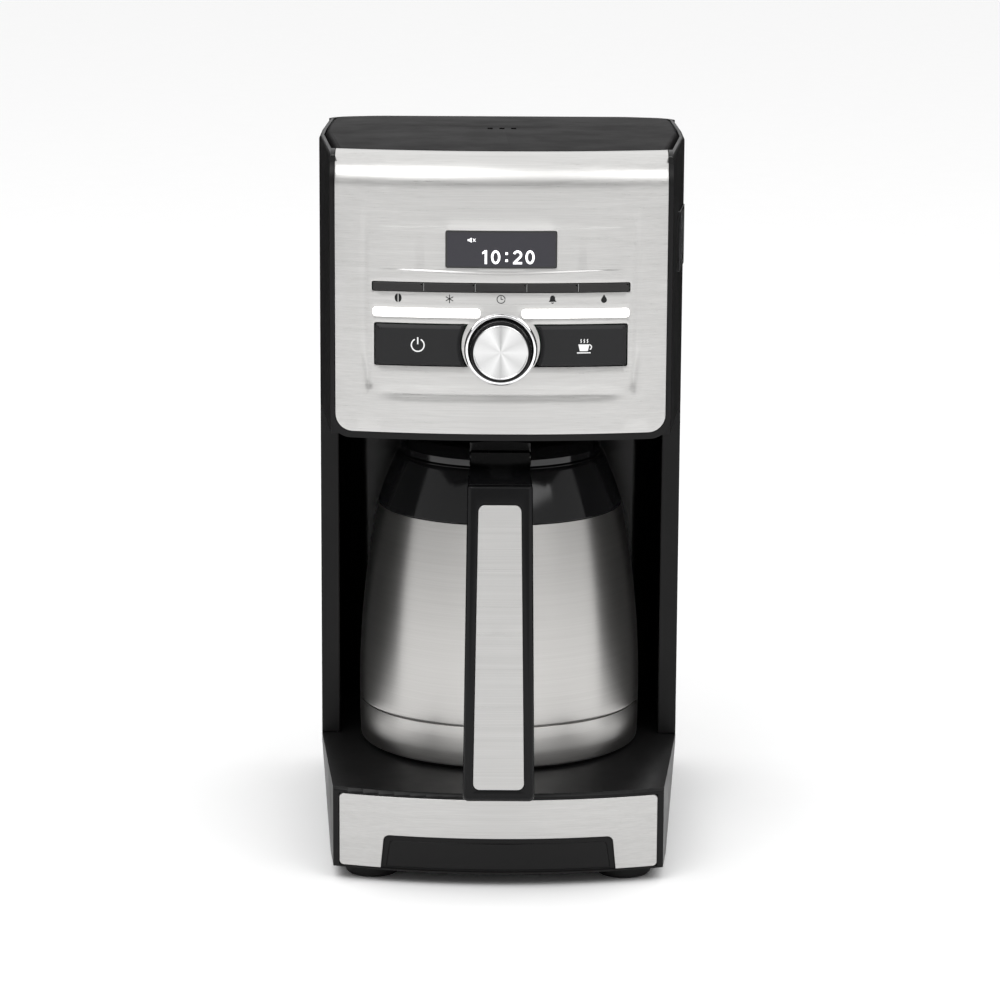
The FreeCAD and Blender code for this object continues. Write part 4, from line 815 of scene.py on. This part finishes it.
def make_carafe():
    """Four turned pieces; their sections are (radius, height over the deck, rounding)."""
    belly_r, belly_z, seam_z = 70.2, 28.0, 22.0
    top_r, top_z = 60.8, 120.6
    wall = bowed((belly_r, belly_z), (top_r, top_z), 473.0, 40)
    inner = [(r - 0.9, z) for r, z in reversed(wall)]
    shell_foot = [(belly_r - 1.0, seam_z), (belly_r - 0.35, seam_z), (belly_r - 0.12, seam_z + 0.3),
                  (belly_r, seam_z + 1.2)]
    cup = [(66.9, 1.4), (69.6, 1.4, 1.2), (70.0, 9.0, 8), (belly_r - 0.05, 16.0, 20),
           (belly_r - 0.05, seam_z - 0.5, 0.25), (belly_r - 0.5, seam_z - 0.2), (belly_r - 1.2, seam_z - 0.2),
           (68.6, 8.0)]
    foot = [(0, 1.5), (60, 1.5, 0.4), (61, 0.2, 0.4), (67.6, 0.2, 0.5), (67.9, 1.3), (66.8, 1.35),
            (66.8, 4.2), (0, 4.2)]
    lip = [(57, 118), (59.6, 118), (59.6, 120.75), (60.75, 120.75, 0.25)]
    side = bowed((60.7, 121.3), (51.9, 145.6), 250.0, 20)
    rim = [(51.0, 146.9, 0.6), (49.4, 147.2, 0.3), (46.6, 147.2, 0.5), (46.6, 132.4), (48.8, 132.4),
           (48.8, 126)]
    lathe("carafe_shell_steel", shell_foot + wall + inner, "carafe", "carafe",
          ("carafe_shell",), 192)
    lathe("carafe_base_cup", fillet(cup), "carafe", "carafe", (), 192)
    lathe("carafe_foot_ring", fillet(foot), "carafe", "rubber", ("carafe_base",), 160)
    lathe("carafe_collar_gloss", fillet(lip)[:-1] + side + fillet(rim),
          "carafe", "gloss", ("carafe_collar",), 192)


make_carafe()

# ---------------------------------------------------------------- rear screws


REAR_SCREWS = [(x, z) for z in (40, 230) for x in (-60, 60)]


def make_painted_recess_shade():
    """A black cross on each screw head of the rear cover: painted shade where its cross recess is dark."""
    head = high("case_screws")[1]
    long, thin = 1.9, 0.32
    arm = [(thin, -long), (thin, -thin), (long, -thin)]
    side = arm + [(u, -v) for u, v in reversed(arm)]
    cross = side + [(-u, -v) for u, v in side]
    for at, (x, z) in enumerate(REAR_SCREWS):
        outline = [(x + u, z + v) for u, v in cross]
        # The cross is a flush black plate: painted shade in place of the recess's hollow.
        plate("screw_cross_%d" % at, outline, [(0, -0.6), (0, 0.02)], "machine", "ink",
              mapping=lambda u, v, w: (u, head + w, v))


make_painted_recess_shade()

# ---------------------------------------------------------------- parts whose own shape is right

SOFT = {
    "case": {"base_housing": 0.7, "right_side_cover": 0.5, "left_side_cover": 0.5, "rear_cover": 0.8,
             "head_housing": 0.5, "head_bezel": 0.5, "base_plate": 0.4, "cord_gland": 0.5},
    "lid": {"lid_cover": 0.5, "lid_liner": 0.4},
    "bay": {"bay_liner": 0.6},
    "gloss": {"carafe_lid": 0.6, "pour_lever": 0.7, "drip_stop": 0.4, "level_frame": 0.35},
    "grip": {"carafe_handle": 1.8},
    "steel": {"front_trim": 0.35, "handle_inlay": 0.18},
    "inner": {"carafe_vessel": 0.2},
    "rubber": {"feet": 0.5},
    "pane": {"level_window": 0.25},
    "key": {"basket_holder": 0.5, "filter_basket": 0.5, "shower_head": 0.4, "pour_valve": 0.4,
            "panel_carrier": 0.3},
    "tank": {"water_reservoir": 0.4},
    "part": {"case_screws": 0.25, "hinge_pin": 0.3, "basket_bail": 0.6, "handle_screws": 0.2,
             "lever_pin": 0.2, "encoder": 0.2, "heater_clamp": 0.2, "thermostat": 0.3},
    "alloy": {"heater": 1.0},
    "board": {"control_board": 0.15, "power_board": 0.15, "display_module": 0.3},
    "ink": {"tact_switches": 0.2},
    "silicone": {"inlet_hose": 0.3, "riser_tube": 0.3, "check_valve": 0.5, "lid_gasket": 0.3},
}
for material_key, members in SOFT.items():
    for node_name, edge in members.items():
        softened(node_name, material_key, edge)

# ---------------------------------------------------------------- stage


def make_stage():
    floor_mesh = bpy.data.meshes.new("floor")
    reach = 14.0
    corners = [(-reach, -reach, 0), (reach, -reach, 0), (reach, reach, 0), (-reach, reach, 0)]
    floor_mesh.from_pydata(corners, [], [(0, 1, 2, 3)])
    floor = bpy.data.objects.new("floor", floor_mesh)
    bpy.context.scene.collection.objects.link(floor)
    material, tree, shader = new_material("PaleFloor")
    speck = stretched_noise(tree, (30, 30, 30), 2.0)
    tint(tree, shader, speck, (0.96, 0.96, 0.96), (0.98, 0.98, 0.98))
    shader.inputs["Roughness"].default_value = 0.65
    shader.inputs["Specular IOR Level"].default_value = 0.0
    floor_mesh.materials.append(material)

    world = bpy.data.worlds.new("Studio")
    bpy.context.scene.world = world
    world.use_nodes = True
    tree = world.node_tree
    where = tree.nodes.new("ShaderNodeTexCoord")
    overhead = tree.nodes.new("ShaderNodeVectorMath")
    overhead.operation = "DOT_PRODUCT"
    overhead.inputs[1].default_value = (0, 0.40, 1.0)       # brightest overhead and a little behind
    dim, bright, dim_below, bright_above = 0.45, 1.30, 0.50, 0.80
    level = spread(tree, overhead.outputs["Value"], dim, bright, dim_below, bright_above)
    tree.links.new(where.outputs["Generated"], overhead.inputs[0])
    tree.links.new(level, tree.nodes["Background"].inputs["Strength"])
    tree.nodes["Background"].inputs["Color"].default_value = (1, 1, 1, 1)

    def softbox(name, location, target, width, height, watts):
        lamp = bpy.data.lights.new(name, "AREA")
        lamp.shape = "RECTANGLE"
        lamp.size, lamp.size_y, lamp.energy = width, height, watts
        item = bpy.data.objects.new(name, lamp)
        item.location = location
        item.rotation_euler = (Vector(target) - Vector(location)).to_track_quat("-Z", "Y").to_euler()
        bpy.context.scene.collection.objects.link(item)

    middle = (0, 0, 0.18)
    softbox("key_light", (-0.9, -1.6, 2.3), middle, 1.6, 1.2, 17)
    softbox("fill_light", (1.3, -1.5, 1.7), middle, 1.2, 1.2, 9)
    softbox("floor_light", (0, -2.4, 2.4), (0, -1.6, 0), 3.0, 1.6, 26)

    # Dark cards beside the machine that only its shiny surfaces see: they give the steel its edges.
    black, _, black_shader = new_material("BlackCard")
    black_shader.inputs["Base Color"].default_value = (0.01, 0.01, 0.01, 1)
    black_shader.inputs["Roughness"].default_value = 0.9
    near, far, top, lift = -0.05, 3.0, 0.8, 0.002
    out_x, in_x, in_near = 0.5, 0.15, 0.1       # each has an upright part and one that lies on the floor
    for name, side in (("card_left", -1), ("card_right", 1)):
        x, inward = side * out_x, side * in_x
        card_mesh = bpy.data.meshes.new(name)
        upright = [(x, near, lift), (x, far, lift), (x, far, top), (x, near, top)]
        lying = [(inward, in_near, lift), (inward, far, lift)]
        card_mesh.from_pydata(upright + lying, [], [(0, 1, 2, 3), (0, 1, 5, 4)])
        card_mesh.materials.append(black)
        card = bpy.data.objects.new(name, card_mesh)
        bpy.context.scene.collection.objects.link(card)
        card.visible_camera = card.visible_diffuse = card.visible_shadow = card.visible_transmission = False


make_stage()

# ---------------------------------------------------------------- camera


def make_camera():
    """Where the photograph was taken from: in front of the machine and a little above it."""
    bpy.context.scene.view_settings.view_transform = "Standard"
    distance, tilt, roll = 1.8402, math.radians(12), math.radians(0.3)
    aim_height = 0.1206
    target = Vector((0, AXIS_Y, DECK_Z + aim_height))
    lens = bpy.data.cameras.new("camera")
    lens.lens = 132.5
    lens.sensor_width = 36.0
    camera = bpy.data.objects.new("camera", lens)
    bpy.context.scene.collection.objects.link(camera)
    camera.location = target + distance * Vector((0, -math.cos(tilt), math.sin(tilt)))
    turn = Matrix.Rotation(math.pi / 2 - tilt, 3, "X") @ Matrix.Rotation(roll, 3, "Z")
    camera.rotation_euler = turn.to_euler()
    bpy.context.scene.camera = camera


make_camera()
